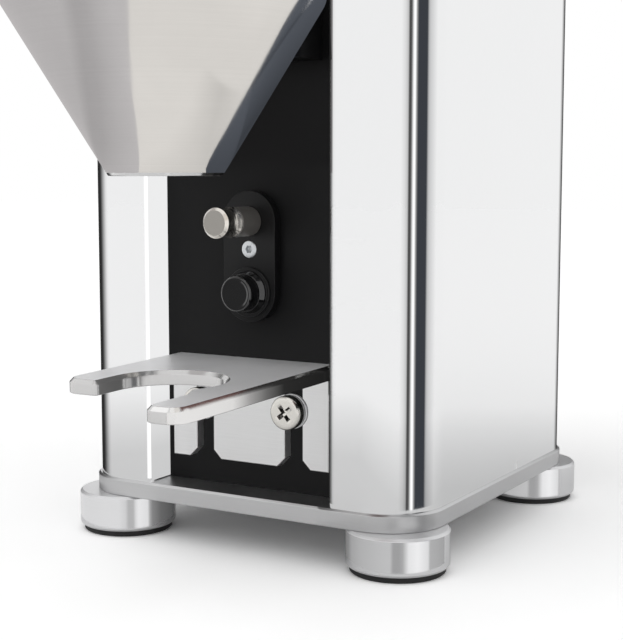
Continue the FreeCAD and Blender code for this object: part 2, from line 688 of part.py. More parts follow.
def panel_hole(radius, x, z):
    return rod(radius, d.panel_thickness, x, panel_front, z, BACK)


panel_holes = [panel_hole(screw_hole, x, z) for x, z in flange_screws]
panel_holes += [panel_hole(fork_screw_hole, fork_screw_x * sign, fork_screw_z) for sign in (-1, 1)]
panel_holes += [panel_hole(hook_hole, 0, hook_z), panel_hole(screw_hole, 0, switch_screw_z),
                panel_hole(sleeve_hole, 0, button_z)]
panel_holes.append(box((-spout, spout), (panel_front, panel_back), (spout_low, spout_top)))
node("front_panel", cut(panel_blank, *panel_holes))

panel_screw = bolt(d.screw_head_radius, d.screw_head_height, d.screw_radius, d.panel_thickness + d.sheet)
panel_screw_back = panel_back + d.screw_head_height
node("front_panel_screws",
     group(*[turned(panel_screw, x, panel_screw_back, z, FRONT) for x, z in flange_screws]))

# Rear panel with its vents, screws, power switch and cable gland
rear_half = rear_gap + d.rear_lap
rear_low = base_top + d.rear_margin
rear_high = cover_top - d.rear_margin
rear_blank = box((-rear_half, rear_half), (cover_back, rear_face), (rear_low, rear_high))
rear_screws = [(rear_screw_x * sign, level) for sign in (-1, 1) for level in screw_levels]
rear_span = (cover_back, rear_face)
rear_cuts = [rod(screw_hole, d.rear_thickness, x, cover_back, z, BACK) for x, z in rear_screws]
vent = d.vent_width / 2
for number in range(int(d.vent_count.value)):
    vent_z = base_top + d.vent_low + d.vent_pitch * number
    rear_cuts.append(box((-vent, vent), rear_span, (vent_z, vent_z + d.vent_height)))
rocker_z = base_top + d.rocker_level
pocket_x = d.frame_width / 2 - d.frame_rim
pocket_z = d.frame_height / 2 - d.frame_rim
body_x = pocket_x + d.frame_rim / 2
body_z = pocket_z + d.frame_rim / 2
rear_cuts.append(box((d.rocker_x - body_x, d.rocker_x + body_x), rear_span,
                     (rocker_z - body_z, rocker_z + body_z)))
gland_z = base_top + d.gland_level
gland_hole = d.gland_thread + d.fit_gap
rear_cuts.append(rod(gland_hole, d.rear_thickness, d.gland_x, cover_back, gland_z, BACK))
node("rear_panel", cut(rear_blank, *rear_cuts))

rear_screw = bolt(d.screw_head_radius, d.screw_head_height, d.screw_radius,
                  d.rear_thickness + d.sheet + d.screw_head_height)
rear_screw_face = rear_face + d.screw_head_height
node("rear_panel_screws",
     group(*[turned(rear_screw, x, rear_screw_face, z, FRONT) for x, z in rear_screws]))

frame_lip = box((d.rocker_x - d.frame_width / 2, d.rocker_x + d.frame_width / 2),
                (rear_face, rear_face + d.frame_lip),
                (rocker_z - d.frame_height / 2, rocker_z + d.frame_height / 2))
frame_body = box((d.rocker_x - body_x, d.rocker_x + body_x), (cover_back - d.frame_depth, rear_face),
                 (rocker_z - body_z, rocker_z + body_z))
pivot_y = rear_face
frame_pocket = box((d.rocker_x - pocket_x, d.rocker_x + pocket_x),
                   (pivot_y - d.rocker_depth, rear_face + d.frame_lip),
                   (rocker_z - pocket_z, rocker_z + pocket_z))
pin_hole = rod(d.rocker_pin + d.fit_gap, body_x * 2, d.rocker_x - body_x, pivot_y, rocker_z, ACROSS)
node("power_switch_frame", cut(join(frame_lip, frame_body), frame_pocket, pin_hole))

rocker_half = pocket_z - d.rocker_gap
rocker_outline = [(d.rocker_peak, 0), (d.rocker_edge, rocker_half), (-d.rocker_body, rocker_half),
                  (-d.rocker_body, -rocker_half), (d.rocker_edge, -rocker_half)]
rocker_x_low = d.rocker_x - pocket_x + d.rocker_gap
rocker = padded(rocker_outline, (pocket_x - d.rocker_gap) * 2)
lean = FreeCAD.Rotation(FreeCAD.Vector(1, 0, 0), d.rocker_tilt.value)
place(rocker, rocker_x_low, pivot_y, rocker_z, lean.multiply(ACROSS))
pin_half = body_x - d.slide_gap
pin = rod(d.rocker_pin, pin_half * 2, d.rocker_x - pin_half, pivot_y, rocker_z, ACROSS)
node("power_rocker", join(rocker, pin))

gland_profile = [
    (d.gland_bore, -d.gland_tail), (d.gland_thread, -d.gland_tail), (d.gland_thread, 0), (d.gland_nut, 0),
    (d.gland_nut, d.gland_nut_height), (d.gland_dome, d.gland_nut_height),
    (d.gland_dome, d.gland_length - d.gland_taper), (d.gland_dome - d.gland_taper, d.gland_length),
    (d.gland_bore, d.gland_length),
]
node("cable_gland", turned(gland_profile, d.gland_x, rear_face, gland_z, BACK))

# Switch plate with hook, screw and start button
switch_face = panel_front - d.switch_thickness
bezel_radius = sleeve_radius + d.bezel_lip
switch_half = bezel_radius + d.switch_margin
switch_blank = join(
    box((-switch_half, switch_half), (switch_face, panel_front), (button_z, hook_z)),
    rod(switch_half, d.switch_thickness, 0, switch_face, button_z, BACK),
    rod(switch_half, d.switch_thickness, 0, switch_face, hook_z, BACK),
)
switch_screw_seat = d.switch_screw_head + d.fit_gap
switch_cuts = [rod(hook_hole, d.switch_thickness, 0, switch_face, hook_z, BACK),
               rod(sleeve_hole, d.switch_thickness, 0, switch_face, button_z, BACK),
               rod(screw_hole, d.switch_thickness, 0, switch_face, switch_screw_z, BACK),
               rod(switch_screw_seat, d.switch_screw_sink, 0, switch_face, switch_screw_z, BACK)]
node("switch_plate", cut(switch_blank, *switch_cuts))

switch_screw_shank = d.switch_thickness - d.switch_screw_sink + d.panel_thickness + d.screw_head_height
switch_screw = turned(bolt(d.switch_screw_head, d.switch_screw_sink, d.screw_radius, switch_screw_shank),
                      0, switch_face, switch_screw_z, BACK)
switch_socket = doc.addObject("Part::Prism", "socket")
switch_socket.Polygon = 6
bind(switch_socket, "Circumradius", d.switch_screw_socket)
bind(switch_socket, "Height", d.socket_depth)
place(switch_socket, 0, switch_face, switch_screw_z, BACK)
node("switch_plate_screw", cut(switch_screw, switch_socket))

hook_stud = d.switch_thickness + d.panel_thickness + d.screw_head_height
ring_low = d.hook_foot_length
ring_high = ring_low + d.hook_ring_length
neck_low = ring_high + d.hook_flare_length
disc_low = neck_low + d.hook_neck_length
disc_end = disc_low + d.hook_disc_length
hook_profile = [
    (0, -hook_stud), (d.hook_stud_radius, -hook_stud), (d.hook_stud_radius, 0), (d.hook_foot_radius, 0),
    (d.hook_foot_radius, ring_low), (d.hook_ring_radius, ring_low), (d.hook_ring_radius, ring_high),
    (d.hook_neck_radius, neck_low), (d.hook_neck_radius, disc_low),
    (d.hook_disc_radius - d.hook_edge, disc_low), (d.hook_disc_radius, disc_low + d.hook_edge),
    (d.hook_disc_radius, disc_end - d.hook_edge), (d.hook_disc_radius - d.hook_edge, disc_end), (0, disc_end),
]
node("portafilter_hook", turned(hook_profile, 0, switch_face, hook_z, FRONT))

# Heights here run from the switch plate's face to the front, so what lies behind it is negative
sleeve_end = -(d.switch_thickness + d.panel_thickness + d.sleeve_tail)
floor_top = sleeve_end + d.sleeve_floor
stem_hole = d.stem_radius + d.running_gap
button_low = floor_top + d.button_travel + d.spring_wall * 2
stem_end = sleeve_end - d.stem_tip
collar_end = d.bezel_height + d.bezel_collar
bezel_profile = [
    (stem_hole, sleeve_end), (sleeve_radius, sleeve_end), (sleeve_radius, 0), (bezel_radius, 0),
    (bezel_radius, d.bezel_height), (sleeve_radius, d.bezel_height), (sleeve_radius, collar_end),
    (sleeve_bore, collar_end), (sleeve_bore, floor_top), (stem_hole, floor_top),
]
node("start_button_bezel", turned(bezel_profile, 0, switch_face, button_z, FRONT))
button_profile = [
    (0, stem_end), (d.stem_radius, stem_end), (d.stem_radius, button_low), (d.button_radius, button_low),
    (d.button_radius, d.button_height - d.button_crown),
    (d.button_radius - d.button_crown, d.button_height), (0, d.button_height),
]
node("start_button", turned(button_profile, 0, switch_face, button_z, FRONT))
spring_outer = sleeve_bore - d.spring_wall
node("start_button_spring",
     ring(spring_outer, spring_outer - d.spring_wall, button_low - floor_top, 0,
          switch_face - floor_top, button_z, FRONT))
block_front = switch_face - sleeve_end
block_half = d.block_width / 2
block_room = d.stem_tip + d.button_travel + d.slide_gap
block_blank = box((-block_half, block_half), (block_front, block_front + d.block_depth),
                  (button_z - block_half, button_z + block_half))
node("start_switch_block", cut(block_blank, rod(stem_hole, block_room, 0, block_front, button_z, BACK)))

# Fork: a plate with an open throat on a slotted bracket, clamped by two screws
fork_half = channel - d.fork_side_gap
bracket_half = fork_half - d.bracket_inset
bracket_back = panel_front - d.slide_gap
bracket_front = bracket_back - d.bracket_thickness
slot_half = d.slot_width / 2
slot_edges = []
for sign in (-1, 1):
    centre = fork_screw_x * sign
    slot_edges += [
        (centre - slot_half - d.slot_mouth, 0), (centre - slot_half, d.slot_mouth),
        (centre - slot_half, d.slot_length), (centre + slot_half, d.slot_length),
        (centre + slot_half, d.slot_mouth), (centre + slot_half + d.slot_mouth, 0),
    ]
bracket_outline = [(-bracket_half, d.bracket_height), (-bracket_half, 0), *slot_edges,
                   (bracket_half, 0), (bracket_half, d.bracket_height)]
bracket = place(padded(bracket_outline, d.bracket_thickness), 0, bracket_back, bracket_low, FRONT)

# The plate starts inside the bracket, so its reaches are counted from the bracket's middle
plate_start = d.slide_gap + d.bracket_thickness / 2
throat_v = plate_start - d.throat_reach
left_tip = throat_v - d.left_prong
right_tip = throat_v - d.right_prong
flare_side = d.throat_radius + d.flare_step
left_corners = [(-fork_half, left_tip), (-d.throat_radius, left_tip)]
right_corners = [(flare_side, right_tip), (fork_half, right_tip)]
plate_outline = [
    (-fork_half, 0), *left_corners, (-d.throat_radius, throat_v),
    (d.tooth_side, throat_v - d.tooth_reach), (flare_side, throat_v - d.flare_reach),
    *right_corners, (fork_half, 0),
]
plate = padded(plate_outline, d.fork_thickness)
throat = new_sketch(plate, "XY_Plane")
throat.addGeometry(Part.Circle(FreeCAD.Vector(0, throat_v.value, 0), FreeCAD.Vector(0, 0, 1),
                               d.throat_radius.value), False)
fix_point(throat, 0, 3, as_size(0), throat_v)
throat_size = throat.addConstraint(Sketcher.Constraint("Radius", 0, d.throat_radius.value))
throat.setExpression(f"Constraints[{throat_size}]", d.throat_radius.text)
throat_cut = plate.newObject("PartDesign::Pocket", "throat_cut")
throat_cut.Profile = throat
throat_cut.Type = "ThroughAll"
throat_cut.Reversed = True
doc.recompute()
round_corners(plate, [left_corners[0], right_corners[1]], d.tip_outer_round)
round_corners(plate, [left_corners[1], right_corners[0]], d.tip_inner_round)
chamfer_top(plate, d.fork_chamfer)
droop = FreeCAD.Rotation(FreeCAD.Vector(1, 0, 0), d.fork_droop.value)
place(plate, 0, panel_front - plate_start, fork_top - d.fork_thickness, droop)
node("fork", join(bracket, plate))

washer_face = bracket_front - d.slide_gap
spring_washer_face = washer_face - d.washer_thickness
head_back = spring_washer_face - d.spring_washer_thickness
head_front = head_back - d.fork_head_height
nut_bar_back = panel_back + d.nut_bar_thickness
fork_shank = nut_bar_back - head_front
fork_screw_profile = [
    (0, 0), (d.fork_head_radius - d.fork_head_round, 0), (d.fork_head_radius, d.fork_head_round),
    (d.fork_head_radius, d.fork_head_height), (d.fork_screw_radius, d.fork_head_height),
    (d.fork_screw_radius, fork_shank), (0, fork_shank),
]
arm = d.cross_length / 2
stroke = d.cross_width / 2
cross_span = (head_front, head_front + d.cross_depth)


def fork_screw(x):
    """A screw whose cross recess is two crossed slots."""
    body = turned(fork_screw_profile, x, head_front, fork_screw_z, BACK)
    flat_slot = box((x - arm, x + arm), cross_span, (fork_screw_z - stroke, fork_screw_z + stroke))
    upright_slot = box((x - stroke, x + stroke), cross_span, (fork_screw_z - arm, fork_screw_z + arm))
    return cut(body, flat_slot, upright_slot)


fork_screw_sides = [-fork_screw_x, fork_screw_x]
node("fork_screws", group(*[fork_screw(x) for x in fork_screw_sides]))
washers = []
for x in fork_screw_sides:
    washers.append(ring(d.washer_radius, fork_screw_hole, d.washer_thickness, x, washer_face,
                        fork_screw_z, FRONT))
    washers.append(ring(d.spring_washer_radius, fork_screw_hole, d.spring_washer_thickness, x,
                        spring_washer_face, fork_screw_z, FRONT))
node("fork_washers", group(*washers))
bar_half = fork_screw_x + d.nut_bar_end
bar_rise = d.nut_bar_height / 2
bar_blank = box((-bar_half, bar_half), (panel_back, nut_bar_back),
                (fork_screw_z - bar_rise, fork_screw_z + bar_rise))
bar_holes = [rod(fork_screw_hole, d.nut_bar_thickness, x, panel_back, fork_screw_z, BACK)
             for x in fork_screw_sides]
node("fork_nut_bar", cut(bar_blank, *bar_holes))

# Funnel in the cradle of the chute box, with the duct from the grinding chamber
funnel_height = d.funnel_cone + d.funnel_rim
inner_rim = d.funnel_radius - d.funnel_wall
inner_outlet = d.funnel_outlet - d.funnel_wall
funnel_profile = [
    (inner_outlet, 0), (d.funnel_outlet, 0), (d.funnel_radius, d.funnel_cone),
    (d.funnel_radius, funnel_height), (inner_rim, funnel_height), (inner_rim, d.funnel_cone),
]
cradle_profile = [
    (0, 0), (d.funnel_outlet + d.running_gap, 0), (d.funnel_radius + d.running_gap, d.funnel_cone),
    (d.funnel_radius + d.running_gap, funnel_height * 2), (0, funnel_height * 2),
]
carrier_radius = d.burr_radius + d.carrier_rim
sweep_radius = carrier_radius + d.sweeper_reach
chamber_bore = sweep_radius + d.sweeper_gap
chamber_radius = chamber_bore + d.chamber_wall
boss_face = motor_y - larger(d.motor_radius, chamber_radius) - d.boss_gap
duct = d.duct_width / 2
duct_end = funnel_y + d.funnel_radius - d.funnel_wall * 2
duct_outline = [(boss_face, outlet_low), (boss_face, outlet_top), (duct_end, mouth_top),
                (duct_end, mouth_low)]


def duct_tool():
    return place(padded(duct_outline, d.duct_width), -duct, 0, 0, ACROSS)


# A screw head's edge lies close to the inside of the funnel's rim
funnel_screw_z = funnel_low + funnel_height - d.funnel_screw_drop
funnel_screw_x = duct + d.funnel_screw_margin
head_edge = funnel_screw_x + d.screw_head_radius
funnel_screw_face = funnel_y + (inner_rim * inner_rim - head_edge * head_edge).root() - d.slide_gap
funnel_screw_length = panel_front - funnel_screw_face
funnel_screw_sides = [-funnel_screw_x, funnel_screw_x]


def funnel_screw_holes():
    return [rod(screw_hole, funnel_screw_length, x, funnel_screw_face, funnel_screw_z, BACK)
            for x in funnel_screw_sides]


chute_half = d.chute_width / 2
chute_top = mouth_top + d.chute_roof
chute_blank = join(
    box((-chute_half, chute_half), (panel_front - d.chute_reach, panel_front),
        (chute_top - d.chute_height, chute_top)),
    box((-spout, spout), (panel_front, boss_face), (spout_low, spout_top)),
)
cradle = turned(cradle_profile, 0, funnel_y, funnel_low)
node("chute_box", cut(chute_blank, cradle, duct_tool(), *funnel_screw_holes()))
node("funnel", cut(turned(funnel_profile, 0, funnel_y, funnel_low), duct_tool(), *funnel_screw_holes()))
funnel_screw = bolt(d.screw_head_radius, d.screw_head_height, d.screw_radius, funnel_screw_length)
funnel_screw_start = funnel_screw_face - d.screw_head_height
node("funnel_screws", group(*[turned(funnel_screw, x, funnel_screw_start, funnel_screw_z, BACK)
                              for x in funnel_screw_sides]))
lip_outer = inner_rim - d.running_gap
lip_inner = lip_outer - d.funnel_wall
knob_waist = d.lid_knob_radius / 2
knob_top = d.lid_thickness + d.lid_knob_height
cover_profile = [
    (0, 0), (lip_inner, 0), (lip_inner, -d.lid_lip), (lip_outer, -d.lid_lip), (lip_outer, 0),
    (d.funnel_radius, 0), (d.funnel_radius, d.lid_thickness), (knob_waist, d.lid_thickness),
    (d.lid_knob_radius, knob_top - d.lid_thickness), (d.lid_knob_radius, knob_top), (0, knob_top),
]
node("funnel_cover", turned(cover_profile, 0, funnel_y, funnel_low + funnel_height))

# Motor: end bells, housing, stator, rotor, shaft, bearings and fan about one upright axis
lower_seat = d.lower_bearing_radius + d.fit_gap
boss_top = d.bell_thickness + d.bell_boss
lower_bearing_low = boss_top - d.lower_bearing_height
boss_radius = lower_seat + d.bell_boss_wall
shaft_clear = d.shaft_radius + d.bearing_lip
lower_bell_profile = [
    (shaft_clear, 0), (d.motor_radius, 0), (d.motor_radius, d.bell_thickness),
    (boss_radius, d.bell_thickness), (boss_radius, boss_top), (lower_seat, boss_top),
    (lower_seat, lower_bearing_low), (shaft_clear, lower_bearing_low),
]
lower_bell = join(turned(lower_bell_profile, 0, motor_y, axle_low),
                  *[rod(d.leg_radius, d.leg_height, x, y, base_top) for x, y in motor_legs])
leg_screw_room = d.leg_screw_grip + d.slide_gap
node("motor_lower_bell", cut(lower_bell, *[rod(leg_hole, leg_screw_room, x, y, base_top)
                                           for x, y in motor_legs]))
leg_screw = bolt(d.leg_screw_head, d.leg_screw_head_height, d.leg_screw_radius,
                 d.base_thickness + d.leg_screw_grip)
leg_screw_low = base_low - d.leg_screw_head_height
node("motor_screws", group(*[turned(leg_screw, x, y, leg_screw_low) for x, y in motor_legs]))
bore_radius = d.motor_radius - d.motor_wall
node("motor_housing", ring(d.motor_radius, bore_radius, housing_top - bell_top, 0, motor_y, bell_top))
core_radius = bore_radius - d.fit_gap
core_bore = core_radius - d.stator_depth
node("stator_core", ring(core_radius, core_bore, d.core_height, 0, motor_y, core_low))
winding_inner = core_bore + d.winding_inset
winding_outer = bore_radius - d.winding_margin
node("stator_windings", group(*[ring(winding_outer, winding_inner, d.winding_height, 0, motor_y, level)
                                for level in (core_low - d.winding_height, core_top)]))
shaft_bore = d.shaft_radius + d.fit_gap
node("rotor_core", ring(core_bore - d.air_gap, shaft_bore, d.core_height, 0, motor_y, core_low))
upper_seat = d.upper_bearing_radius + d.fit_gap
lip_low = d.top_bell_thickness - d.bearing_lip
upper_bell_profile = [
    (upper_seat, 0), (d.motor_radius, 0), (d.motor_radius, d.top_bell_thickness),
    (d.chamber_shaft_hole, d.top_bell_thickness), (d.chamber_shaft_hole, lip_low), (upper_seat, lip_low),
]
node("motor_upper_bell", turned(upper_bell_profile, 0, motor_y, housing_top))
upper_bearing_low = housing_top + lip_low - d.upper_bearing_height
node("lower_bearing", ring(d.lower_bearing_radius, d.lower_journal + d.fit_gap, d.lower_bearing_height,
                           0, motor_y, axle_low + lower_bearing_low))
node("upper_bearing", ring(d.upper_bearing_radius, shaft_bore, d.upper_bearing_height, 0, motor_y,
                           upper_bearing_low))

shaft_low = axle_low + lower_bearing_low
journal_end = d.lower_bearing_height
seat_low = carrier_low - shaft_low
shaft_top = seat_low + d.carrier_hub_height - d.slide_gap
burr_bolt_hole = d.bolt_radius + d.fit_gap
burr_bolt_low = shaft_top - d.burr_bolt_grip - d.slide_gap
shaft_profile = [
    (0, 0), (d.lower_journal, 0), (d.lower_journal, journal_end), (d.shaft_radius, journal_end),
    (d.shaft_radius, seat_low), (d.burr_seat_radius, seat_low), (d.burr_seat_radius, shaft_top),
    (burr_bolt_hole, shaft_top), (burr_bolt_hole, burr_bolt_low), (0, burr_bolt_low),
]
node("motor_shaft", turned(shaft_profile, 0, motor_y, shaft_low))

fan_radius = bore_radius - d.fan_margin
fan_profile = [
    (shaft_bore, 0), (fan_radius, 0), (fan_radius, d.fan_plate), (d.fan_hub, d.fan_plate),
    (d.fan_hub, d.fan_height), (shaft_bore, d.fan_height),
]


def spoke(start, end, width, height, level, angle):
    """A block that points outwards from the motor axis at an angle in degrees."""
    obj = doc.addObject("Part::Box", "spoke")
    bind(obj, "Length", end - start)
    bind(obj, "Width", width)
    bind(obj, "Height", height)
    turn = FreeCAD.Rotation(FreeCAD.Vector(0, 0, 1), angle)
    along = turn.multVec(FreeCAD.Vector(1, 0, 0))
    across = turn.multVec(FreeCAD.Vector(0, 1, 0))
    x = start * along.x - width / 2 * across.x
    y = start * along.y - width / 2 * across.y + motor_y
    return place(obj, x, y, level, turn)


def even_angles(count):
    return [360 / count * number for number in range(count)]


blade_start = d.fan_hub - d.fan_plate
blades = [spoke(blade_start, fan_radius, d.fan_plate, d.fan_height, fan_low, angle)
          for angle in even_angles(int(d.blade_count.value))]
node("cooling_fan", join(turned(fan_profile, 0, motor_y, fan_low), *blades))

capacitor_profile = [(0, 0), (d.capacitor_radius, 0), (d.capacitor_radius, d.capacitor_height),
                     (0, d.capacitor_height)]
capacitor_x = side - d.sheet - d.capacitor_gap - d.capacitor_radius
terminals = [rod(d.terminal_radius, d.terminal_height, capacitor_x + d.capacitor_radius / 2 * sign,
                 d.capacitor_y, base_top + d.capacitor_height) for sign in (-1, 1)]
node("capacitor", join(turned(capacitor_profile, capacitor_x, d.capacitor_y, base_top), *terminals))

# Grinding chamber with its outlet and a groove for the upper carrier's key
chamber_height = cover_top - chamber_low
chamber_profile = [
    (d.chamber_shaft_hole, 0), (chamber_radius, 0), (chamber_radius, chamber_height),
    (chamber_bore, chamber_height), (chamber_bore, d.chamber_floor),
    (d.chamber_shaft_hole, d.chamber_floor),
]
boss_back = motor_y - chamber_bore - d.chamber_wall / 2
boss_span = (outlet_low - d.boss_rim, outlet_top + d.boss_rim)
chamber = join(turned(chamber_profile, 0, motor_y, chamber_low),
               box((-spout, spout), (boss_face, boss_back), boss_span))
outlet = box((-duct, duct), (boss_face, motor_y), (outlet_low, outlet_top))
key_start = chamber_bore - d.key_reach
key_end = chamber_bore + d.key_reach
key_play = d.running_gap * 2
key_groove = spoke(key_start, key_end + d.running_gap, d.key_width + key_play, cover_top - upper_burr_low,
                   upper_burr_low, 90)
node("grind_chamber", cut(chamber, outlet, key_groove))

# Lower burr on its carrier, which turns with the shaft
seat_bore = d.burr_seat_radius + d.fit_gap
plate_low = d.carrier_skirt
plate_high = d.carrier_skirt + d.carrier_plate
carrier_profile = [
    (seat_bore, 0), (d.carrier_hub, 0), (d.carrier_hub, plate_low), (carrier_radius, plate_low),
    (carrier_radius, plate_high), (d.carrier_hub, plate_high), (d.carrier_hub, d.carrier_hub_height),
    (seat_bore, d.carrier_hub_height),
]
sweeper_start = d.carrier_hub - d.sweeper_width / 2
sweepers = [spoke(sweeper_start, sweep_radius, d.sweeper_width, d.sweeper_height, carrier_low, angle)
            for angle in even_angles(3)]
node("lower_burr_carrier", join(turned(carrier_profile, 0, motor_y, carrier_low), *sweepers))


def burr(level, groove_level):
    """A ring with slanted cutting grooves in one face."""
    blank = ring(d.burr_radius, d.burr_bore, d.burr_thickness, 0, motor_y, level)
    grooves = []
    for angle in even_angles(int(d.tooth_count.value)):
        groove = doc.addObject("Part::Box", "groove")
        bind(groove, "Length", d.burr_radius * 2)
        bind(groove, "Width", d.tooth_width)
        bind(groove, "Height", d.tooth_depth)
        turn = FreeCAD.Rotation(FreeCAD.Vector(0, 0, 1), angle)
        offset = turn.multVec(FreeCAD.Vector(0, 1, 0))
        grooves.append(place(groove, d.tooth_lead * offset.x, d.tooth_lead * offset.y + motor_y,
                             groove_level, turn))
    return cut(blank, *grooves)


node("lower_burr", burr(lower_burr_low, lower_burr_low + d.burr_thickness - d.tooth_depth))
node("upper_burr", burr(upper_burr_low, upper_burr_low))
burr_bolt_profile = [
    (0, 0), (d.bolt_radius, 0), (d.bolt_radius, d.burr_bolt_grip), (d.burr_bolt_head, d.burr_bolt_grip),
    (d.burr_bolt_head, d.burr_bolt_grip + d.burr_bolt_height), (0, d.burr_bolt_grip + d.burr_bolt_height),
]
burr_bolt_level = carrier_low + d.carrier_hub_height - d.burr_bolt_grip
node("burr_bolt", turned(burr_bolt_profile, 0, motor_y, burr_bolt_level))

# Upper burr carrier, which slides on its key as the collar's thread turns
slide_radius = chamber_bore - d.running_gap
throat_top = top_face + d.throat_rise - upper_carrier_low
upper_profile = [
    (d.burr_bore, 0), (slide_radius, 0), (slide_radius, d.upper_plate), (throat_outer, d.upper_plate),
    (throat_outer, throat_top), (d.throat_bore, throat_top), (d.throat_bore, d.upper_plate),
    (d.burr_bore, d.upper_plate),
]
key = spoke(key_start, key_end, d.key_width, d.upper_plate, upper_carrier_low, 90)
node("upper_burr_carrier", join(turned(upper_profile, 0, motor_y, upper_carrier_low), key))

# Adjusting collar with its lever, on the top plate
collar_low = top_face + d.slide_gap
collar_top = collar_low + d.collar_height
collar_thread = throat_outer + d.running_gap
collar_radius = throat_outer + d.collar_wall
hopper_neck = d.hopper_bore + d.neck_wall
hopper_seat = hopper_neck + d.running_gap
collar_profile = [
    (collar_thread, 0), (collar_radius, 0), (collar_radius, d.collar_height - d.collar_chamfer),
    (collar_radius - d.collar_chamfer, d.collar_height), (hopper_seat, d.collar_height),
    (hopper_seat, d.collar_ledge), (collar_thread, d.collar_ledge),
]
lever_z = collar_low + d.collar_height / 2
lever_start = motor_y - collar_radius + d.lever_seat
collar = turned(collar_profile, 0, motor_y, collar_low)
lever_hole = d.lever_radius + d.fit_gap
node("adjusting_collar", cut(collar, rod(lever_hole, d.lever_seat * 2, 0, lever_start, lever_z, FRONT)))
rod_end = d.lever_seat + d.lever_length
knob_end = rod_end + d.knob_length
lever_profile = [
    (0, 0), (d.lever_radius, 0), (d.lever_radius, rod_end), (d.knob_radius - d.knob_round, rod_end),
    (d.knob_radius, rod_end + d.knob_round), (d.knob_radius, knob_end - d.knob_round),
    (d.knob_radius - d.knob_round, knob_end), (0, knob_end),
]
node("collar_lever", turned(lever_profile, 0, lever_start, lever_z, FRONT))

# Hopper with its gate and lid, standing in the collar
flange_radius = d.hopper_bore + d.hopper_flange
flange_top = d.hopper_neck_length + d.flange_height
cone_top = flange_top + d.hopper_cone
hopper_height = cone_top + d.hopper_side
hopper_inner = d.hopper_radius - d.hopper_wall
hopper_low = collar_top - d.hopper_neck_length
hopper_profile = [
    (d.hopper_bore, 0), (hopper_neck, 0), (hopper_neck, d.hopper_neck_length),
    (flange_radius, d.hopper_neck_length), (flange_radius, flange_top), (d.hopper_radius, cone_top),
    (d.hopper_radius, hopper_height), (hopper_inner, hopper_height), (hopper_inner, cone_top),
    (d.hopper_bore, flange_top),
]
gate_low = collar_top + d.gate_level
gate_start = -(d.hopper_bore + d.gate_lap)
gate_half = d.hopper_bore + d.gate_side_lap
gate_play = d.running_gap
gate_slot = box((gate_start - gate_play, flange_radius),
                (motor_y - gate_half - gate_play, motor_y + gate_half + gate_play),
                (gate_low - gate_play, gate_low + d.gate_thickness + gate_play))
node("hopper", cut(turned(hopper_profile, 0, motor_y, hopper_low), gate_slot))
tab_end = flange_radius + d.gate_tab
gate_plate = box((gate_start, tab_end), (motor_y - gate_half, motor_y + gate_half),
                 (gate_low, gate_low + d.gate_thickness))
grip_low = gate_low + d.gate_thickness / 2 - d.gate_grip / 2
gate_grip = box((tab_end - d.gate_grip, tab_end), (motor_y - gate_half, motor_y + gate_half),
                (grip_low, grip_low + d.gate_grip))
node("hopper_gate", join(gate_plate, gate_grip))
cap_lip_outer = hopper_inner - d.running_gap
cap_lip_inner = cap_lip_outer - d.hopper_wall
cap_radius = d.hopper_radius + d.cap_overhang
cap_top = d.cap_thickness + d.cap_knob_height
cap_waist = d.cap_knob_radius - d.knob_round
cap_profile = [
    (0, 0), (cap_lip_inner, 0), (cap_lip_inner, -d.cap_lip), (cap_lip_outer, -d.cap_lip), (cap_lip_outer, 0),
    (cap_radius, 0), (cap_radius, d.cap_thickness), (cap_waist, d.cap_thickness),
    (d.cap_knob_radius, cap_top - d.knob_round), (cap_waist, cap_top), (0, cap_top),
]
node("hopper_lid", turned(cap_profile, 0, motor_y, hopper_low + hopper_height))

# Every object has to be sound before any file is written
doc.recompute()
for obj in doc.Objects:
    if "Invalid" in obj.State or "Error" in obj.State:
        raise RuntimeError(f"{obj.Name} ({obj.Label}) failed: {obj.State}")
os.makedirs("parts", exist_ok=True)
for piece in nodes:
    if piece.Shape.isNull() or not piece.Shape.isValid() or not piece.Shape.Solids:
        raise RuntimeError(f"{piece.Label} has no sound solid")
for piece in nodes:
    piece.Shape.exportStep(f"parts/{piece.Label}.step")
print(len(nodes), "pieces written")
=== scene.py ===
import json
import math

import bmesh
import bpy
from mathutils import Matrix, Vector


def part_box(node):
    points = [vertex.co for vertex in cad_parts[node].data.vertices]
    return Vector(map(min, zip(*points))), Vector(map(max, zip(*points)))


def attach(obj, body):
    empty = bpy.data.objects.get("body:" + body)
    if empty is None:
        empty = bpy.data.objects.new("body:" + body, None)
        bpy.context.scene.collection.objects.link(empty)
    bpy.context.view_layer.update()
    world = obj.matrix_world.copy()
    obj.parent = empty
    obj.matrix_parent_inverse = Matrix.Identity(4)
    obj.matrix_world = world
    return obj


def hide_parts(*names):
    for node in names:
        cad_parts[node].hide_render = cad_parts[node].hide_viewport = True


# Burr coffee grinder: finishes, finely modelled pieces, stage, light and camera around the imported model.
# Lengths in this file are millimetres and become metres where a vertex or an object is placed.
# +X is to the right seen from the front, +Y to the back, +Z up.

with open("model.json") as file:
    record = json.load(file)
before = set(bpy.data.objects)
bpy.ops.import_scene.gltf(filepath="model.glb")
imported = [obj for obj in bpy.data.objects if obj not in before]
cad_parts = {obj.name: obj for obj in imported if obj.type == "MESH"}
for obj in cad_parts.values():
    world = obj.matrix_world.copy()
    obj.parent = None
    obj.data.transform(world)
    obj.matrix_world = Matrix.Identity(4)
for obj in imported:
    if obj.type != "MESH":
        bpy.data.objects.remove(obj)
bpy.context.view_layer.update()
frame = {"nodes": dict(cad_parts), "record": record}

MM = 0.001
NODE_SLOT = {part["node"]: part["material_slot"] for part in frame["record"]["subparts"]}
NODE_BODY = {node: body for body, members in frame["record"]["behaviour"]["bodies"].items()
             for node in members}

# How a piece's own Z lies in the machine
UP = Matrix.Identity(4)
FRONT = Matrix.Rotation(math.radians(90), 4, "X")
BACK = Matrix.Rotation(math.radians(-90), 4, "X")


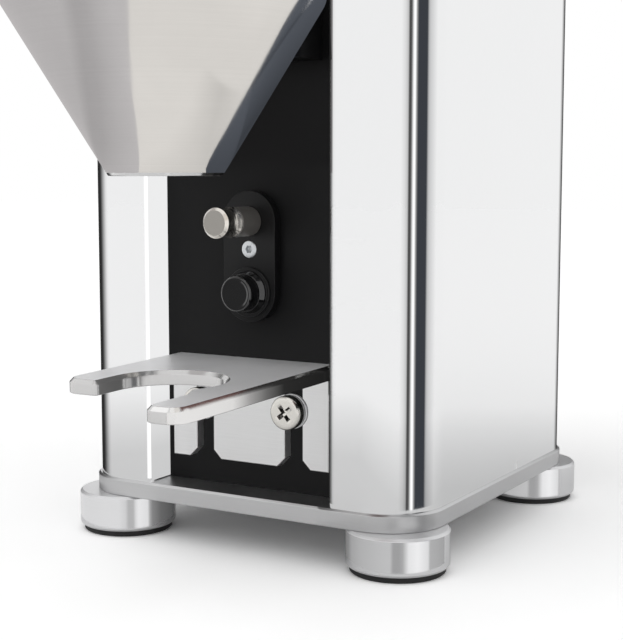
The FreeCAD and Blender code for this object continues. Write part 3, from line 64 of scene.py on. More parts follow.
def span(node):
    """Lowest and highest corner of a CAD node, in millimetres."""
    low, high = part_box(node)
    return low / MM, high / MM


def at(x, y, z, facing=UP):
    return Matrix.Translation(Vector((x, y, z)) * MM) @ facing


# Finishes

FINISHES = {}
# Most of a noise texture's values lie between these two
NOISE_LOW = 0.3
NOISE_HIGH = 0.7
SOFT_DETAIL = 3.0
# Radians by which a wave texture of scale 1 turns in a metre
WAVE_TURN = 20


def graph(name):
    """Adds a finish and gives its node tree, Principled shader and object coordinates."""
    material = bpy.data.materials.new(name)
    material.use_nodes = True
    FINISHES[name] = material
    tree = material.node_tree
    coordinates = tree.nodes.new("ShaderNodeTexCoord")
    return tree, tree.nodes["Principled BSDF"], coordinates.outputs["Object"]


def maths(tree, operation, first, second):
    """A Math node; each operand is a socket or a number."""
    node = tree.nodes.new("ShaderNodeMath")
    node.operation = operation
    for socket, value in zip(node.inputs, (first, second)):
        if isinstance(value, (int, float)):
            socket.default_value = value
        else:
            tree.links.new(value, socket)
    return node.outputs[0]


def stretched(tree, coordinates, scale):
    node = tree.nodes.new("ShaderNodeVectorMath")
    node.operation = "MULTIPLY"
    node.inputs[1].default_value = scale
    tree.links.new(coordinates, node.inputs[0])
    return node.outputs[0]


def round_coordinates(tree, coordinates):
    """Distance from a piece's own Z axis and height along it, for marks left by turning."""
    split = tree.nodes.new("ShaderNodeSeparateXYZ")
    tree.links.new(coordinates, split.inputs[0])
    square_x = maths(tree, "MULTIPLY", split.outputs[0], split.outputs[0])
    square_y = maths(tree, "MULTIPLY", split.outputs[1], split.outputs[1])
    radius = maths(tree, "SQRT", maths(tree, "ADD", square_x, square_y), 0.0)
    joined = tree.nodes.new("ShaderNodeCombineXYZ")
    tree.links.new(radius, joined.inputs[0])
    tree.links.new(split.outputs[2], joined.inputs[2])
    return joined.outputs[0]


def noise(tree, vector, scale, detail=4.0, rough=0.55):
    node = tree.nodes.new("ShaderNodeTexNoise")
    node.inputs["Scale"].default_value = scale
    node.inputs["Detail"].default_value = detail
    node.inputs["Roughness"].default_value = rough
    tree.links.new(vector, node.inputs["Vector"])
    return node.outputs["Fac"]


def ranged(tree, value, low, high, start=NOISE_LOW, end=NOISE_HIGH):
    node = tree.nodes.new("ShaderNodeMapRange")
    for name, number in (("From Min", start), ("From Max", end), ("To Min", low), ("To Max", high)):
        node.inputs[name].default_value = number
    tree.links.new(value, node.inputs["Value"])
    return node.outputs["Result"]


def tinted(tree, value, dark, light):
    """A colour between two, by a texture's value."""
    ramp = tree.nodes.new("ShaderNodeValToRGB")
    marks = ramp.color_ramp.elements
    for mark, position, colour in ((marks[0], NOISE_LOW, dark), (marks[1], NOISE_HIGH, light)):
        mark.position = position
        mark.color = (*colour, 1)
    tree.links.new(value, ramp.inputs["Fac"])
    return ramp.outputs["Color"]


def bumped(tree, height, strength, depth):
    node = tree.nodes.new("ShaderNodeBump")
    node.inputs["Strength"].default_value = strength
    node.inputs["Distance"].default_value = depth * MM
    tree.links.new(height, node.inputs["Height"])
    return node.outputs["Normal"]


def surface(name, colour, metallic, rough, grain, stretch=(1, 1, 1), turned=False, patch=25.0, tint=0.04,
            bump=0.2, depth=0.02, sockets=()):
    """A finish that varies in soft patches, with a fine grain through its colour, roughness and relief.

    grain is the fineness in marks per metre, stretch draws the grain out along an axis, and turned lays it
    in rings round the piece's own axis.
    """
    tree, shader, coordinates = graph(name)
    vector = round_coordinates(tree, coordinates) if turned else coordinates
    fine = noise(tree, stretched(tree, vector, stretch), grain)
    soft = noise(tree, coordinates, patch, SOFT_DETAIL)
    blend = maths(tree, "ADD", maths(tree, "MULTIPLY", fine, 0.5), maths(tree, "MULTIPLY", soft, 0.5))
    tree.links.new(ranged(tree, blend, *rough), shader.inputs["Roughness"])
    dark = [part * (1 - tint) for part in colour]
    light = [min(part * (1 + tint), 1.0) for part in colour]
    tree.links.new(tinted(tree, blend, dark, light), shader.inputs["Base Color"])
    tree.links.new(bumped(tree, fine, bump, depth), shader.inputs["Normal"])
    shader.inputs["Metallic"].default_value = metallic
    for socket, value in sockets:
        shader.inputs[socket].default_value = value


def smoked(name):
    """Smoked see-through plastic with faint moulding waves and handling marks."""
    tree, shader, coordinates = graph(name)
    soft = noise(tree, coordinates, 18.0, SOFT_DETAIL)
    fine = noise(tree, coordinates, 900.0)
    tree.links.new(tinted(tree, soft, (0.50, 0.48, 0.46), (0.56, 0.54, 0.52)), shader.inputs["Base Color"])
    tree.links.new(ranged(tree, fine, 0.02, 0.07), shader.inputs["Roughness"])
    tree.links.new(bumped(tree, soft, 0.15, 0.3), shader.inputs["Normal"])
    shader.inputs["Transmission Weight"].default_value = 1.0
    shader.inputs["IOR"].default_value = 1.49


def layered(name, colour, metallic, spread, rough):
    """Stacked sheets or wound wire: level bands, a wave that turns by a radian in spread millimetres."""
    tree, shader, coordinates = graph(name)
    wave = tree.nodes.new("ShaderNodeTexWave")
    wave.bands_direction = "Z"
    wave.inputs["Scale"].default_value = 1 / (spread * MM * WAVE_TURN)
    wave.inputs["Distortion"].default_value = 0.4
    tree.links.new(coordinates, wave.inputs["Vector"])
    dark = [part * 0.6 for part in colour]
    tree.links.new(tinted(tree, wave.outputs["Fac"], dark, colour), shader.inputs["Base Color"])
    tree.links.new(bumped(tree, wave.outputs["Fac"], 0.5, 0.2), shader.inputs["Normal"])
    tree.links.new(ranged(tree, noise(tree, coordinates, 60.0), *rough), shader.inputs["Roughness"])
    shader.inputs["Metallic"].default_value = metallic


LEVEL_GRAIN = (0.02, 1, 1)
surface("mirror_chrome", (0.845, 0.848, 0.852), 1, (0.02, 0.045), 300, patch=9, tint=0.006, bump=0.02,
        depth=0.01)
surface("satin_aluminium", (0.58, 0.58, 0.585), 1, (0.28, 0.38), 2500, stretch=LEVEL_GRAIN, bump=0.12)
surface("polished_aluminium", (0.84, 0.84, 0.85), 1, (0.06, 0.10), 3000, turned=True, bump=0.03)
surface("foot_satin", (0.78, 0.78, 0.79), 0.5, (0.34, 0.44), 3000, turned=True, bump=0.05)
surface("turned_aluminium", (0.80, 0.80, 0.80), 1, (0.10, 0.16), 5000, turned=True, bump=0.015,
        tint=0.06, patch=26)
surface("pad_rubber", (0.018, 0.018, 0.018), 0, (0.6, 0.8), 900, bump=0.3, depth=0.05, tint=0.2)
surface("black_steel", (0.006, 0.006, 0.0065), 0, (0.36, 0.46), 1500, bump=0.12, depth=0.03, tint=0.15,
        sockets=(("Specular IOR Level", 0.16),))
surface("black_plate", (0.007, 0.007, 0.0075), 0, (0.30, 0.40), 1800, bump=0.10, depth=0.02, tint=0.15,
        sockets=(("Specular IOR Level", 0.25),))
surface("gloss_black", (0.004, 0.004, 0.0045), 0, (0.06, 0.12), 600, bump=0.02, depth=0.02, tint=0.1,
        sockets=(("Specular IOR Level", 0.7), ("Coat Weight", 0.6), ("Coat Roughness", 0.05)))
surface("matte_black", (0.016, 0.016, 0.017), 0, (0.48, 0.62), 1200, bump=0.2, depth=0.05, tint=0.12)
surface("fork_steel", (0.76, 0.76, 0.76), 1, (0.44, 0.54), 2200, stretch=LEVEL_GRAIN, bump=0.08,
        tint=0.05)
# The next two are lighter, partly matt copies of the fork's steel for its top and its walls: painted light
surface("fork_satin_painted_light", (0.88, 0.88, 0.89), 0.36, (0.36, 0.46), 2200, stretch=LEVEL_GRAIN, bump=0.05,
        tint=0.05)
surface("fork_polish_painted_light", (0.66, 0.655, 0.65), 0.72, (0.10, 0.18), 1800, bump=0.03, tint=0.03)
surface("fork_side", (0.78, 0.77, 0.76), 1, (0.14, 0.22), 1800, bump=0.03, tint=0.03)
surface("nickel", (0.78, 0.745, 0.69), 1, (0.15, 0.24), 4000, turned=True, bump=0.06, tint=0.03)
# A darker copy of the nickel for the hook's collar: painted shade, on a rougher satin finish
surface("nickel_satin_painted_shade", (0.28, 0.265, 0.25), 0.7, (0.42, 0.52), 4000, turned=True, bump=0.1)
surface("zinc_steel", (0.72, 0.70, 0.66), 1, (0.18, 0.28), 2500, bump=0.06, tint=0.05)
surface("bright_zinc", (0.68, 0.70, 0.72), 0.8, (0.26, 0.36), 2500, turned=True, bump=0.06)
surface("burr_steel", (0.50, 0.50, 0.51), 1, (0.24, 0.34), 3000, turned=True, bump=0.1)
surface("cast_aluminium", (0.60, 0.61, 0.62), 1, (0.42, 0.58), 700, bump=0.5, depth=0.08, tint=0.08)
layered("lamination", (0.32, 0.32, 0.34), 1, 0.6, (0.40, 0.55))
layered("copper_winding", (0.60, 0.28, 0.12), 1, 1.1, (0.25, 0.40))
smoked("smoked_clear")
surface("mark_white", (0.78, 0.78, 0.76), 0, (0.45, 0.60), 2000, bump=0.1)
surface("spring_steel", (0.58, 0.58, 0.58), 1, (0.22, 0.30), 2500, bump=0.05)
for node, slot in NODE_SLOT.items():
    data = frame["nodes"][node].data
    data.materials.clear()
    data.materials.append(FINISHES[slot])

# Shapes

ROUND_STEPS = 128
# Smaller than any real distance
TINY = 1e-6
FLAT_ANGLE = math.radians(0.4)


def rounded(points, radii, steps):
    """An open line whose inner corners are rounded by the given radii; a radius of 0 keeps a corner."""
    line = [Vector(points[0])]
    for before, corner, after, radius in zip(points, points[1:], points[2:], radii[1:]):
        corner = Vector(corner)
        if radius <= 0:
            line.append(corner)
            continue
        inward = (Vector(before) - corner).normalized()
        onward = (Vector(after) - corner).normalized()
        half = inward.angle(onward) / 2
        centre = corner + (inward + onward).normalized() * (radius / math.sin(half))
        start = corner + inward * (radius / math.tan(half)) - centre
        end = corner + onward * (radius / math.tan(half)) - centre
        turn = start.angle_signed(end)
        for step in range(steps + 1):
            angle = -turn * step / steps
            line.append(centre + Matrix.Rotation(angle, 2) @ start)
    line.append(Vector(points[-1]))
    return line


def lathe(profile, angles=None, closed=False, skip=None):
    """Turns a line of (radius, height) round Z. A radius may be a function of the angle; 0 closes an end.

    skip(row, angle) leaves faces out, for a window in the wall.
    """
    if angles is None:
        angles = [math.tau * step / ROUND_STEPS for step in range(ROUND_STEPS)]
    mesh = bmesh.new()
    rows = []
    for radius, height in profile:
        if not callable(radius) and radius < TINY:
            rows.append([mesh.verts.new((0, 0, height * MM))])
            continue
        row = []
        for angle in angles:
            reach = radius(angle) if callable(radius) else radius
            row.append(mesh.verts.new((reach * math.cos(angle) * MM, reach * math.sin(angle) * MM,
                                       height * MM)))
        rows.append(row)
    pairs = list(zip(rows, rows[1:]))
    if closed:
        pairs.append((rows[-1], rows[0]))
    for number, (lower, upper) in enumerate(pairs):
        for step, angle in enumerate(angles):
            following = (step + 1) % len(angles)
            if skip and skip(number, angle):
                continue
            corners = [lower[step % len(lower)], lower[following % len(lower)],
                       upper[following % len(upper)], upper[step % len(upper)]]
            corners = list(dict.fromkeys(corners))
            if len(corners) > 2:
                mesh.faces.new(corners)
    return mesh


def loft(rows, mesh=None):
    """Skins rows of points, each with the same count, and closes the first and the last.

    A mesh that is given is added to.
    """
    if mesh is None:
        mesh = bmesh.new()
    loops = [[mesh.verts.new(Vector(point) * MM) for point in row] for row in rows]
    for lower, upper in zip(loops, loops[1:]):
        for step in range(len(lower)):
            following = (step + 1) % len(lower)
            mesh.faces.new((lower[step], lower[following], upper[following], upper[step]))
    mesh.faces.new(loops[0][::-1])
    mesh.faces.new(loops[-1])
    return mesh


def prism(outline, low, high):
    return loft([[(x, y, level) for x, y in outline] for level in (low, high)])


def welded(node):
    """A copy of a CAD node's mesh with its doubled corners joined."""
    mesh = bmesh.new()
    mesh.from_mesh(frame["nodes"][node].data)
    bmesh.ops.remove_doubles(mesh, verts=mesh.verts, dist=TINY)
    return mesh


def loose_spans(node):
    """Lowest and highest corner, in millimetres, of each separate solid of a CAD node."""
    mesh = welded(node)
    left = set(mesh.verts)
    spans = []
    while left:
        joined = [left.pop()]
        for vert in joined:
            for edge in vert.link_edges:
                other = edge.other_vert(vert)
                if other in left:
                    left.remove(other)
                    joined.append(other)
        spans.append([[pick(vert.co[axis] for vert in joined) / MM for axis in range(3)]
                      for pick in (min, max)])
    mesh.free()
    return [(Vector(low), Vector(high)) for low, high in sorted(spans)]


def inset_line(outline, inset):
    """A closed outline, run anticlockwise, drawn in by an inset."""
    points = [Vector(point) for point in outline]
    moved = []
    for before, point, after in zip(points[-1:] + points[:-1], points, points[1:] + points[:1]):
        first = (point - before).normalized()
        second = (after - point).normalized()
        inward = Vector((-first.y, first.x))
        lean = (inward + Vector((-second.y, second.x))).normalized()
        moved.append(point + lean * (inset / lean.dot(inward)))
    return moved


def piece(name, mesh, body, slot, place=UP, finish=None, edge=0.0, sharp=38, edge_finish=None):
    """Makes an object from a mesh; edge is the rounding put on its corners, edge_finish their finish."""
    bmesh.ops.recalc_face_normals(mesh, faces=mesh.faces)
    data = bpy.data.meshes.new(name)
    mesh.to_mesh(data)
    mesh.free()
    data.shade_smooth()
    data.materials.append(FINISHES[finish or slot])
    obj = bpy.data.objects.new(name, data)
    bpy.context.scene.collection.objects.link(obj)
    obj.matrix_world = place
    if edge:
        bevel = obj.modifiers.new("edges", "BEVEL")
        bevel.width = edge * MM
        bevel.segments = 3
        bevel.limit_method = "ANGLE"
        bevel.angle_limit = math.radians(sharp)
        if edge_finish:
            data.materials.append(FINISHES[edge_finish])
            bevel.material = 1
    else:
        data.set_sharp_from_angle(angle=math.radians(sharp))
    normals = obj.modifiers.new("normals", "WEIGHTED_NORMAL")
    normals.keep_sharp = True
    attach(obj, body)
    return obj


def stand_in(node, mesh, place=UP, name=None, **looks):
    """A piece that stands for a CAD node, on its body and with its slot."""
    obj = piece(name or f"{node}_shape", mesh, NODE_BODY[node], NODE_SLOT[node], place, **looks)
    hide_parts(node)
    return obj


def eased(node, edge):
    """A CAD node's own shape, its flat faces each in one piece and its edges rounded."""
    mesh = welded(node)
    bmesh.ops.dissolve_limit(mesh, angle_limit=FLAT_ANGLE, verts=mesh.verts, edges=mesh.edges)
    return stand_in(node, mesh, edge=edge)


def refinish(obj, finish, chosen):
    """Gives the chosen polygons of a piece another finish."""
    obj.data.materials.append(FINISHES[finish])
    for polygon in obj.data.polygons:
        if chosen(polygon):
            polygon.material_index = len(obj.data.materials) - 1


# Base plate, feet and pads
base_low, base_high = span("base_plate")
PLATE_CORNER = 28.7
PLATE_CHAMFER = 1.0
CAP_INSET = 8.0
FOOT_RADIUS = 25.3
FOOT_HEIGHT = 18.5
FOOT_CHAMFER = 1.2
# Foot faces that lean more than this towards up or down are satin
FOOT_LEAN = 0.2
PAD_RADIUS = 23.2
PAD_HEIGHT = 3.0
PAD_CHAMFER = 0.6


def rounded_plate(low, high, corner, inset, steps=24):
    """Points of a rectangle with rounded corners, drawn in by an inset."""
    points = []
    for sign_x, sign_y, start in ((1, 1, 0), (-1, 1, 90), (-1, -1, 180), (1, -1, 270)):
        centre_x = high.x - corner if sign_x > 0 else low.x + corner
        centre_y = high.y - corner if sign_y > 0 else low.y + corner
        for step in range(steps + 1):
            angle = math.radians(start + 90 * step / steps)
            points.append((centre_x + (corner - inset) * math.cos(angle),
                           centre_y + (corner - inset) * math.sin(angle)))
    return points


plate_height = base_high.z - base_low.z
plate_edge = rounded([(CAP_INSET, 0), (0, 0), (0, plate_height - PLATE_CHAMFER),
                      (PLATE_CHAMFER, plate_height), (CAP_INSET, plate_height)], (0, 0.6, 0.35, 0.35, 0), 4)
plate_rows = []
for inset, level in plate_edge:
    outline = rounded_plate(base_low, base_high, PLATE_CORNER, inset)
    plate_rows.append([(x, y, base_low.z + level) for x, y in outline])
stand_in("base_plate", loft(plate_rows))

foot_line = rounded([(0, 0), (FOOT_RADIUS - FOOT_CHAMFER, 0), (FOOT_RADIUS, FOOT_CHAMFER),
                     (FOOT_RADIUS, FOOT_HEIGHT - FOOT_CHAMFER), (FOOT_RADIUS - FOOT_CHAMFER, FOOT_HEIGHT),
                     (0, FOOT_HEIGHT)], (0, 0.4, 0.5, 0.5, 0.4, 0), 4)
pad_line = rounded([(0, 0), (PAD_RADIUS - PAD_CHAMFER, 0), (PAD_RADIUS, PAD_CHAMFER),
                    (PAD_RADIUS, PAD_HEIGHT), (0, PAD_HEIGHT)], (0, 0.3, 0.3, 0.2, 0), 3)
for corner in ("front_left", "front_right", "rear_left", "rear_right"):
    low, high = span(f"foot_{corner}")
    middle = (low + high) / 2
    foot = stand_in(f"foot_{corner}", lathe(foot_line), at(middle.x, middle.y, low.z))
    refinish(foot, "foot_satin", lambda polygon: abs(polygon.normal.z) > FOOT_LEAN)
    stand_in(f"foot_pad_{corner}", lathe(pad_line), at(middle.x, middle.y, 0))

# Side covers: one bent sheet each
CORNER_STEPS = 40
SHEET = 1.5
FLANGE_END = 66.0
CHANNEL = 52.0
COVER_CORNER = 29.0
CHANNEL_BEND = 3.0
REAR_GAP = 60.0
cover_low, cover_high = span("right_side_cover")
panel_low = span("front_panel")[0]


def cover_line(inset):
    """Plan of the sheet's outer face, or of its inner face with the sheet's thickness as inset."""
    corners = [
        (FLANGE_END, panel_low.y - inset), (CHANNEL + inset, panel_low.y - inset),
        (CHANNEL + inset, cover_low.y + inset), (cover_high.x - inset, cover_low.y + inset),
        (cover_high.x - inset, cover_high.y - inset), (REAR_GAP, cover_high.y - inset),
    ]
    corner = COVER_CORNER - inset
    return rounded(corners, (0, 0, CHANNEL_BEND - inset, corner, corner, 0), CORNER_STEPS)


def side_cover(sign):
    outer, inner = cover_line(0), cover_line(SHEET)
    rows = []
    for (outer_x, outer_y), (inner_x, inner_y) in zip(outer, inner):
        rows.append([(outer_x * sign, outer_y, cover_low.z), (outer_x * sign, outer_y, cover_high.z),
                     (inner_x * sign, inner_y, cover_high.z), (inner_x * sign, inner_y, cover_low.z)])
    return loft(rows)


stand_in("left_side_cover", side_cover(-1))
stand_in("right_side_cover", side_cover(1))

# Hook, start button and the screw between them, on the switch plate
SWITCH_FACE = span("switch_plate")[0].y
HOOK_LEVEL = 165.1
BUTTON_LEVEL = 130.1
SCREW_LEVEL = 151.3
HOOK_COLLAR = 16.0
BEZEL_FLANGE = 1.3
PLATE_SCREW_HEAD = 2.6
eased("switch_plate", 0.5)

hook_line = rounded(
    [(0, 0), (7.3, 0), (7.3, 15.7), (7, 15.9), (7, 16.2), (7.5, 16.4), (7.5, 16.9), (6.9, 17.9),
     (6.2, 19.3), (5.7, 21.2), (5.4, 23.5), (5.3, 27.6), (6.6, 27.6), (7.4, 28.2), (7.4, 28.7), (6.1, 30.1),
     (0, 30.1)],
    (0, 0.5, 0.2, 0, 0, 0.1, 0.4, 3, 5, 6, 5, 0.4, 0.2, 0.2, 0.3, 0.3, 0), 4)
hook = stand_in("portafilter_hook", lathe(hook_line), at(0, SWITCH_FACE, HOOK_LEVEL, FRONT))
# The collar gets the darker copy of the nickel: painted shade, on a rougher satin finish
refinish(hook, "nickel_satin_painted_shade", lambda polygon: polygon.center.z < HOOK_COLLAR * MM)

bezel_line = rounded(
    [(9.1, -6), (10.6, -6), (10.6, 0), (12.5, 0), (12.5, 1.2), (10.9, 1.2), (10.7, 2.4), (9.4, 5),
     (9.1, 5), (9.1, -6)],
    (0, 0, 0, 0.1, 0.6, 0.3, 0.4, 0.3, 0.1, 0), 5)
bezel = stand_in("start_button_bezel", lathe(bezel_line[:-1], closed=True),
                 at(0, SWITCH_FACE, BUTTON_LEVEL, FRONT))
refinish(bezel, "black_plate", lambda polygon: polygon.center.z < BEZEL_FLANGE * MM)
button_line = rounded([(0, -10), (8.9, -10), (8.9, 12.5), (7.4, 12.5), (6.4, 12.2), (0, 12)],
                      (0, 0.5, 1.2, 0.3, 0.8, 0), 6)
stand_in("start_button", lathe(button_line), at(0, SWITCH_FACE, BUTTON_LEVEL, FRONT))


def sampled_angles(corners, count=96):
    """Even angles together with the given corner angles, all in radians."""
    angles = {round(math.tau * step / count, 9) for step in range(count)}
    angles |= {round(corner % math.tau, 9) for corner in corners}
    return sorted(angles)


def hexagon(reach):
    """Radius of a hexagon, centre to corner, in a direction."""
    def radius(angle):
        lean = (angle % math.radians(60)) - math.radians(30)
        return reach * math.cos(math.radians(30)) / math.cos(lean)
    return radius


def cross(arm, half_width):
    """Radius of a cross with four arms in a direction."""
    def radius(angle):
        lean = abs((angle + math.radians(45)) % math.radians(90) - math.radians(45))
        if math.tan(lean) * arm <= half_width:
            return arm / math.cos(lean)
        return half_width / math.sin(lean)
    return radius


def cross_angles(arm, half_width, count):
    """Even angles together with the corners of a cross."""
    tip = math.atan2(half_width, arm)
    return sampled_angles([math.radians(90 * quarter) + lean for quarter in range(4)
                           for lean in (-tip, tip, math.radians(45))], count)


def scaled(radius, factor):
    return lambda angle: radius(angle) * factor


hex_angles = sampled_angles([math.radians(60 * step) for step in range(6)], 72)
socket = hexagon(2.0)
screw_line = [(0, -1), (4.3, -1), (4.3, 2.2), (4.25, 2.4), (4.1, 2.55), (3.9, PLATE_SCREW_HEAD),
              (2.6, PLATE_SCREW_HEAD), (scaled(socket, 1.04), PLATE_SCREW_HEAD), (socket, 2.5),
              (socket, 0.2), (0, 0)]
stand_in("switch_plate_screw", lathe(screw_line, hex_angles),
         at(0, SWITCH_FACE + PLATE_SCREW_HEAD, SCREW_LEVEL, FRONT), finish="bright_zinc")

# Fork on its bracket, with screws and washers
FORK_HALF = 47.0
FORK_THICKNESS = 7.0
FORK_CHAMFER = 1.9
FORK_RIM = 2.3
FORK_DROOP = 0.95
FORK_START = 3.1
FORK_LAP = 3.0
TIP_STEPS = 14
THROAT_STEPS = 64
THROAT_RADIUS = 27.0
THROAT_V = -71.1
LEFT_TIP = -88.6
RIGHT_TIP = -127.1
FLARE = (28.2, THROAT_V - 26)
TOOTH_END = math.radians(-32.7)
# Faces that point up by more than the first lean are the fork's satin top, and those within a width of its
# right edge that point right by more than the second are its side. The top gets a light, mostly matt copy
# of the steel and the other faces a darker, partly matt one: painted light over a real satin and polish.
# The side is plain polished steel.
FORK_TOP_LEAN = 0.95
FORK_SIDE_LEAN = 0.32
FORK_SIDE = 10.0
fork_low, fork_high = span("fork")
throat_arc = []
for step in range(THROAT_STEPS + 1):
    angle = math.pi + (TOOTH_END - math.pi) * step / THROAT_STEPS
    throat_arc.append((THROAT_RADIUS * math.cos(angle), THROAT_V + THROAT_RADIUS * math.sin(angle)))
left_side = rounded([(-FORK_HALF, FORK_LAP), (-FORK_HALF, LEFT_TIP), (-THROAT_RADIUS, LEFT_TIP),
                     (-THROAT_RADIUS, THROAT_V)], (0, 9, 2.5, 0), TIP_STEPS)[:-1]
right_side = rounded([FLARE, (FLARE[0], RIGHT_TIP), (FORK_HALF, RIGHT_TIP), (FORK_HALF, FORK_LAP)],
                     (0, 6, 9, 0), TIP_STEPS)
fork_outline = [Vector(point) for point in (*left_side, *throat_arc, *right_side)]
fork_edge = rounded([(FORK_RIM, 0), (0, 0), (0, FORK_THICKNESS - FORK_CHAMFER),
                     (FORK_CHAMFER, FORK_THICKNESS), (FORK_RIM, FORK_THICKNESS)], (0, 0.5, 0.5, 0.4, 0), 3)
fork_rows = []
for inset, level in fork_edge:
    drawn = inset_line(fork_outline, inset)
    fork_rows.append([(spot.x, start.y if start.y > 0 else spot.y, level)
                      for spot, start in zip(drawn, fork_outline)])
droop = Matrix.Rotation(math.radians(FORK_DROOP), 4, "X")
fork_place = at(0, panel_low.y - FORK_START, fork_high.z - FORK_THICKNESS) @ droop
fork = stand_in("fork", loft(fork_rows), fork_place, finish="fork_satin_painted_light", sharp=30)


def below_top(polygon):
    return polygon.normal.z <= FORK_TOP_LEAN


def right_side_face(polygon):
    outward = polygon.normal.x > FORK_SIDE_LEAN and polygon.center.x > (FORK_HALF - FORK_SIDE) * MM
    return below_top(polygon) and outward


refinish(fork, "fork_polish_painted_light", below_top)
refinish(fork, "fork_side", right_side_face)

BRACKET_HALF = 46.0
BRACKET_THICKNESS = 6.0
BRACKET_TOP = 96.2
SLOT_CENTRE = 26.2
SLOT_HALF = 5.0
SLOT_TOP = 84.0
SLOT_MOUTH = 4.5
bracket_outline = [(-BRACKET_HALF, BRACKET_TOP), (-BRACKET_HALF, fork_low.z)]
for centre in (-SLOT_CENTRE, SLOT_CENTRE):
    bracket_outline += [
        (centre - SLOT_HALF - SLOT_MOUTH, fork_low.z), (centre - SLOT_HALF, fork_low.z + SLOT_MOUTH),
        (centre - SLOT_HALF, SLOT_TOP), (centre + SLOT_HALF, SLOT_TOP),
        (centre + SLOT_HALF, fork_low.z + SLOT_MOUTH), (centre + SLOT_HALF + SLOT_MOUTH, fork_low.z),
    ]
bracket_outline += [(BRACKET_HALF, fork_low.z), (BRACKET_HALF, BRACKET_TOP)]
bracket_place = at(0, fork_high.y, 0, FRONT)
# The bracket's rounded edges take the fork walls' partly matt copy of the steel, painted light
bracket = piece("fork_bracket", prism(bracket_outline, 0, BRACKET_THICKNESS), "fork", "fork_steel",
                bracket_place, edge=0.4, edge_finish="fork_polish_painted_light")

screw_low = span("fork_screws")[0]
washer_high = span("fork_washers")[1]
SCREW_Z = 73.0
HEAD_HEIGHT = 5.0
CROSS_ARM = 4.2
CROSS_HALF = 1.1
CROSS_TURN = Matrix.Rotation(math.radians(38), 4, "Z")
WASHER_THICKNESS = 1.6
SPRING_WASHER = 2.2
WASHER_BORE = 4.3
recess = cross(CROSS_ARM, CROSS_HALF)
recess_angles = cross_angles(CROSS_ARM, CROSS_HALF, 120)
head_line = rounded([(4, 0), (8.4, 0), (8.4, HEAD_HEIGHT), (5.4, HEAD_HEIGHT)], (0, 0.3, 1.6, 0), 6)
head_line = [(0, 0), *head_line, (scaled(recess, 1.06), HEAD_HEIGHT),
             (scaled(recess, 0.98), HEAD_HEIGHT - 0.2), (scaled(recess, 0.62), HEAD_HEIGHT - 2.6),
             (0, HEAD_HEIGHT - 2.9)]
washer_line = rounded([(WASHER_BORE, 0), (8.6, 0), (8.6, WASHER_THICKNESS), (WASHER_BORE, WASHER_THICKNESS),
                       (WASHER_BORE, 0)], (0, 0.3, 0.3, 0, 0), 3)[:-1]
ring_line = rounded([(WASHER_BORE, 0), (8.2, 0), (8.2, SPRING_WASHER), (WASHER_BORE, SPRING_WASHER),
                     (WASHER_BORE, 0)], (0, 0.3, 0.3, 0.3, 0), 3)[:-1]
plain_in_mirrors = [fork, bracket]
for hand, x in (("left", -SLOT_CENTRE), ("right", SLOT_CENTRE)):
    plain_in_mirrors += [
        stand_in("fork_screws", lathe(head_line, recess_angles),
                 at(x, screw_low.y + HEAD_HEIGHT, SCREW_Z, FRONT) @ CROSS_TURN, f"fork_screw_{hand}"),
        stand_in("fork_washers", lathe(washer_line, closed=True), at(x, washer_high.y, SCREW_Z, FRONT),
                 f"fork_washer_{hand}", finish="foot_satin"),
        stand_in("fork_washers", lathe(ring_line, closed=True),
                 at(x, washer_high.y - WASHER_THICKNESS, SCREW_Z, FRONT), f"fork_spring_washer_{hand}",
                 finish="foot_satin"),
    ]

# Funnel and its cover
funnel_low, funnel_high = span("funnel")
FUNNEL_Y = (funnel_low.y + funnel_high.y) / 2
FUNNEL_RADIUS = 72.0
FUNNEL_INNER = 70.1
FUNNEL_HEIGHT = 116.2
CONE_TOP = 76.2
WINDOW_LOW = 89.6
WINDOW_HIGH = 112.0
WINDOW_HALF = math.radians(14.2)
# The first point only leads into the lip's inner corner
funnel_line = rounded(
    [(40, 23), (23.6, 0), (25.5, 0), (FUNNEL_RADIUS, CONE_TOP), (FUNNEL_RADIUS, WINDOW_LOW),
     (FUNNEL_RADIUS, WINDOW_HIGH), (FUNNEL_RADIUS, FUNNEL_HEIGHT), (FUNNEL_INNER, FUNNEL_HEIGHT),
     (FUNNEL_INNER, WINDOW_HIGH), (FUNNEL_INNER, WINDOW_LOW), (FUNNEL_INNER, CONE_TOP), (40, 26.86)],
    (0, 0.4, 0.7, 9, 0, 0, 0.8, 0.8, 0, 0, 8, 0), 6)[1:]


def duct_window(row, angle):
    """Whether a face of the funnel lies in the window that the duct comes through."""
    level = (funnel_line[row].y + funnel_line[(row + 1) % len(funnel_line)].y) / 2
    facing_back = abs(angle - math.pi / 2 + math.pi / ROUND_STEPS) < WINDOW_HALF
    return facing_back and WINDOW_LOW < level < WINDOW_HIGH


funnel_mesh = lathe(funnel_line, closed=True, skip=duct_window)
bmesh.ops.bridge_loops(funnel_mesh, edges=[edge for edge in funnel_mesh.edges if edge.is_boundary])
plain_in_mirrors.append(stand_in("funnel", funnel_mesh, at(0, FUNNEL_Y, funnel_low.z)))
eased("chute_box", 0.8)
funnel_cover_line = rounded(
    [(0, 0), (67.9, 0), (67.9, -8), (69.8, -8), (69.8, 0), (FUNNEL_RADIUS, 0), (FUNNEL_RADIUS, 3), (4.5, 3),
     (9, 14), (9, 17), (0, 17)], (0, 0.4, 0.3, 0.4, 0.3, 0.5, 1, 2, 1.5, 1.5, 0), 5)
plain_in_mirrors.append(stand_in("funnel_cover", lathe(funnel_cover_line), at(0, FUNNEL_Y, funnel_high.z)))

# The chrome mirrors the plain studio, without the fork and the funnel before it
for obj in plain_in_mirrors:
    obj.visible_glossy = False

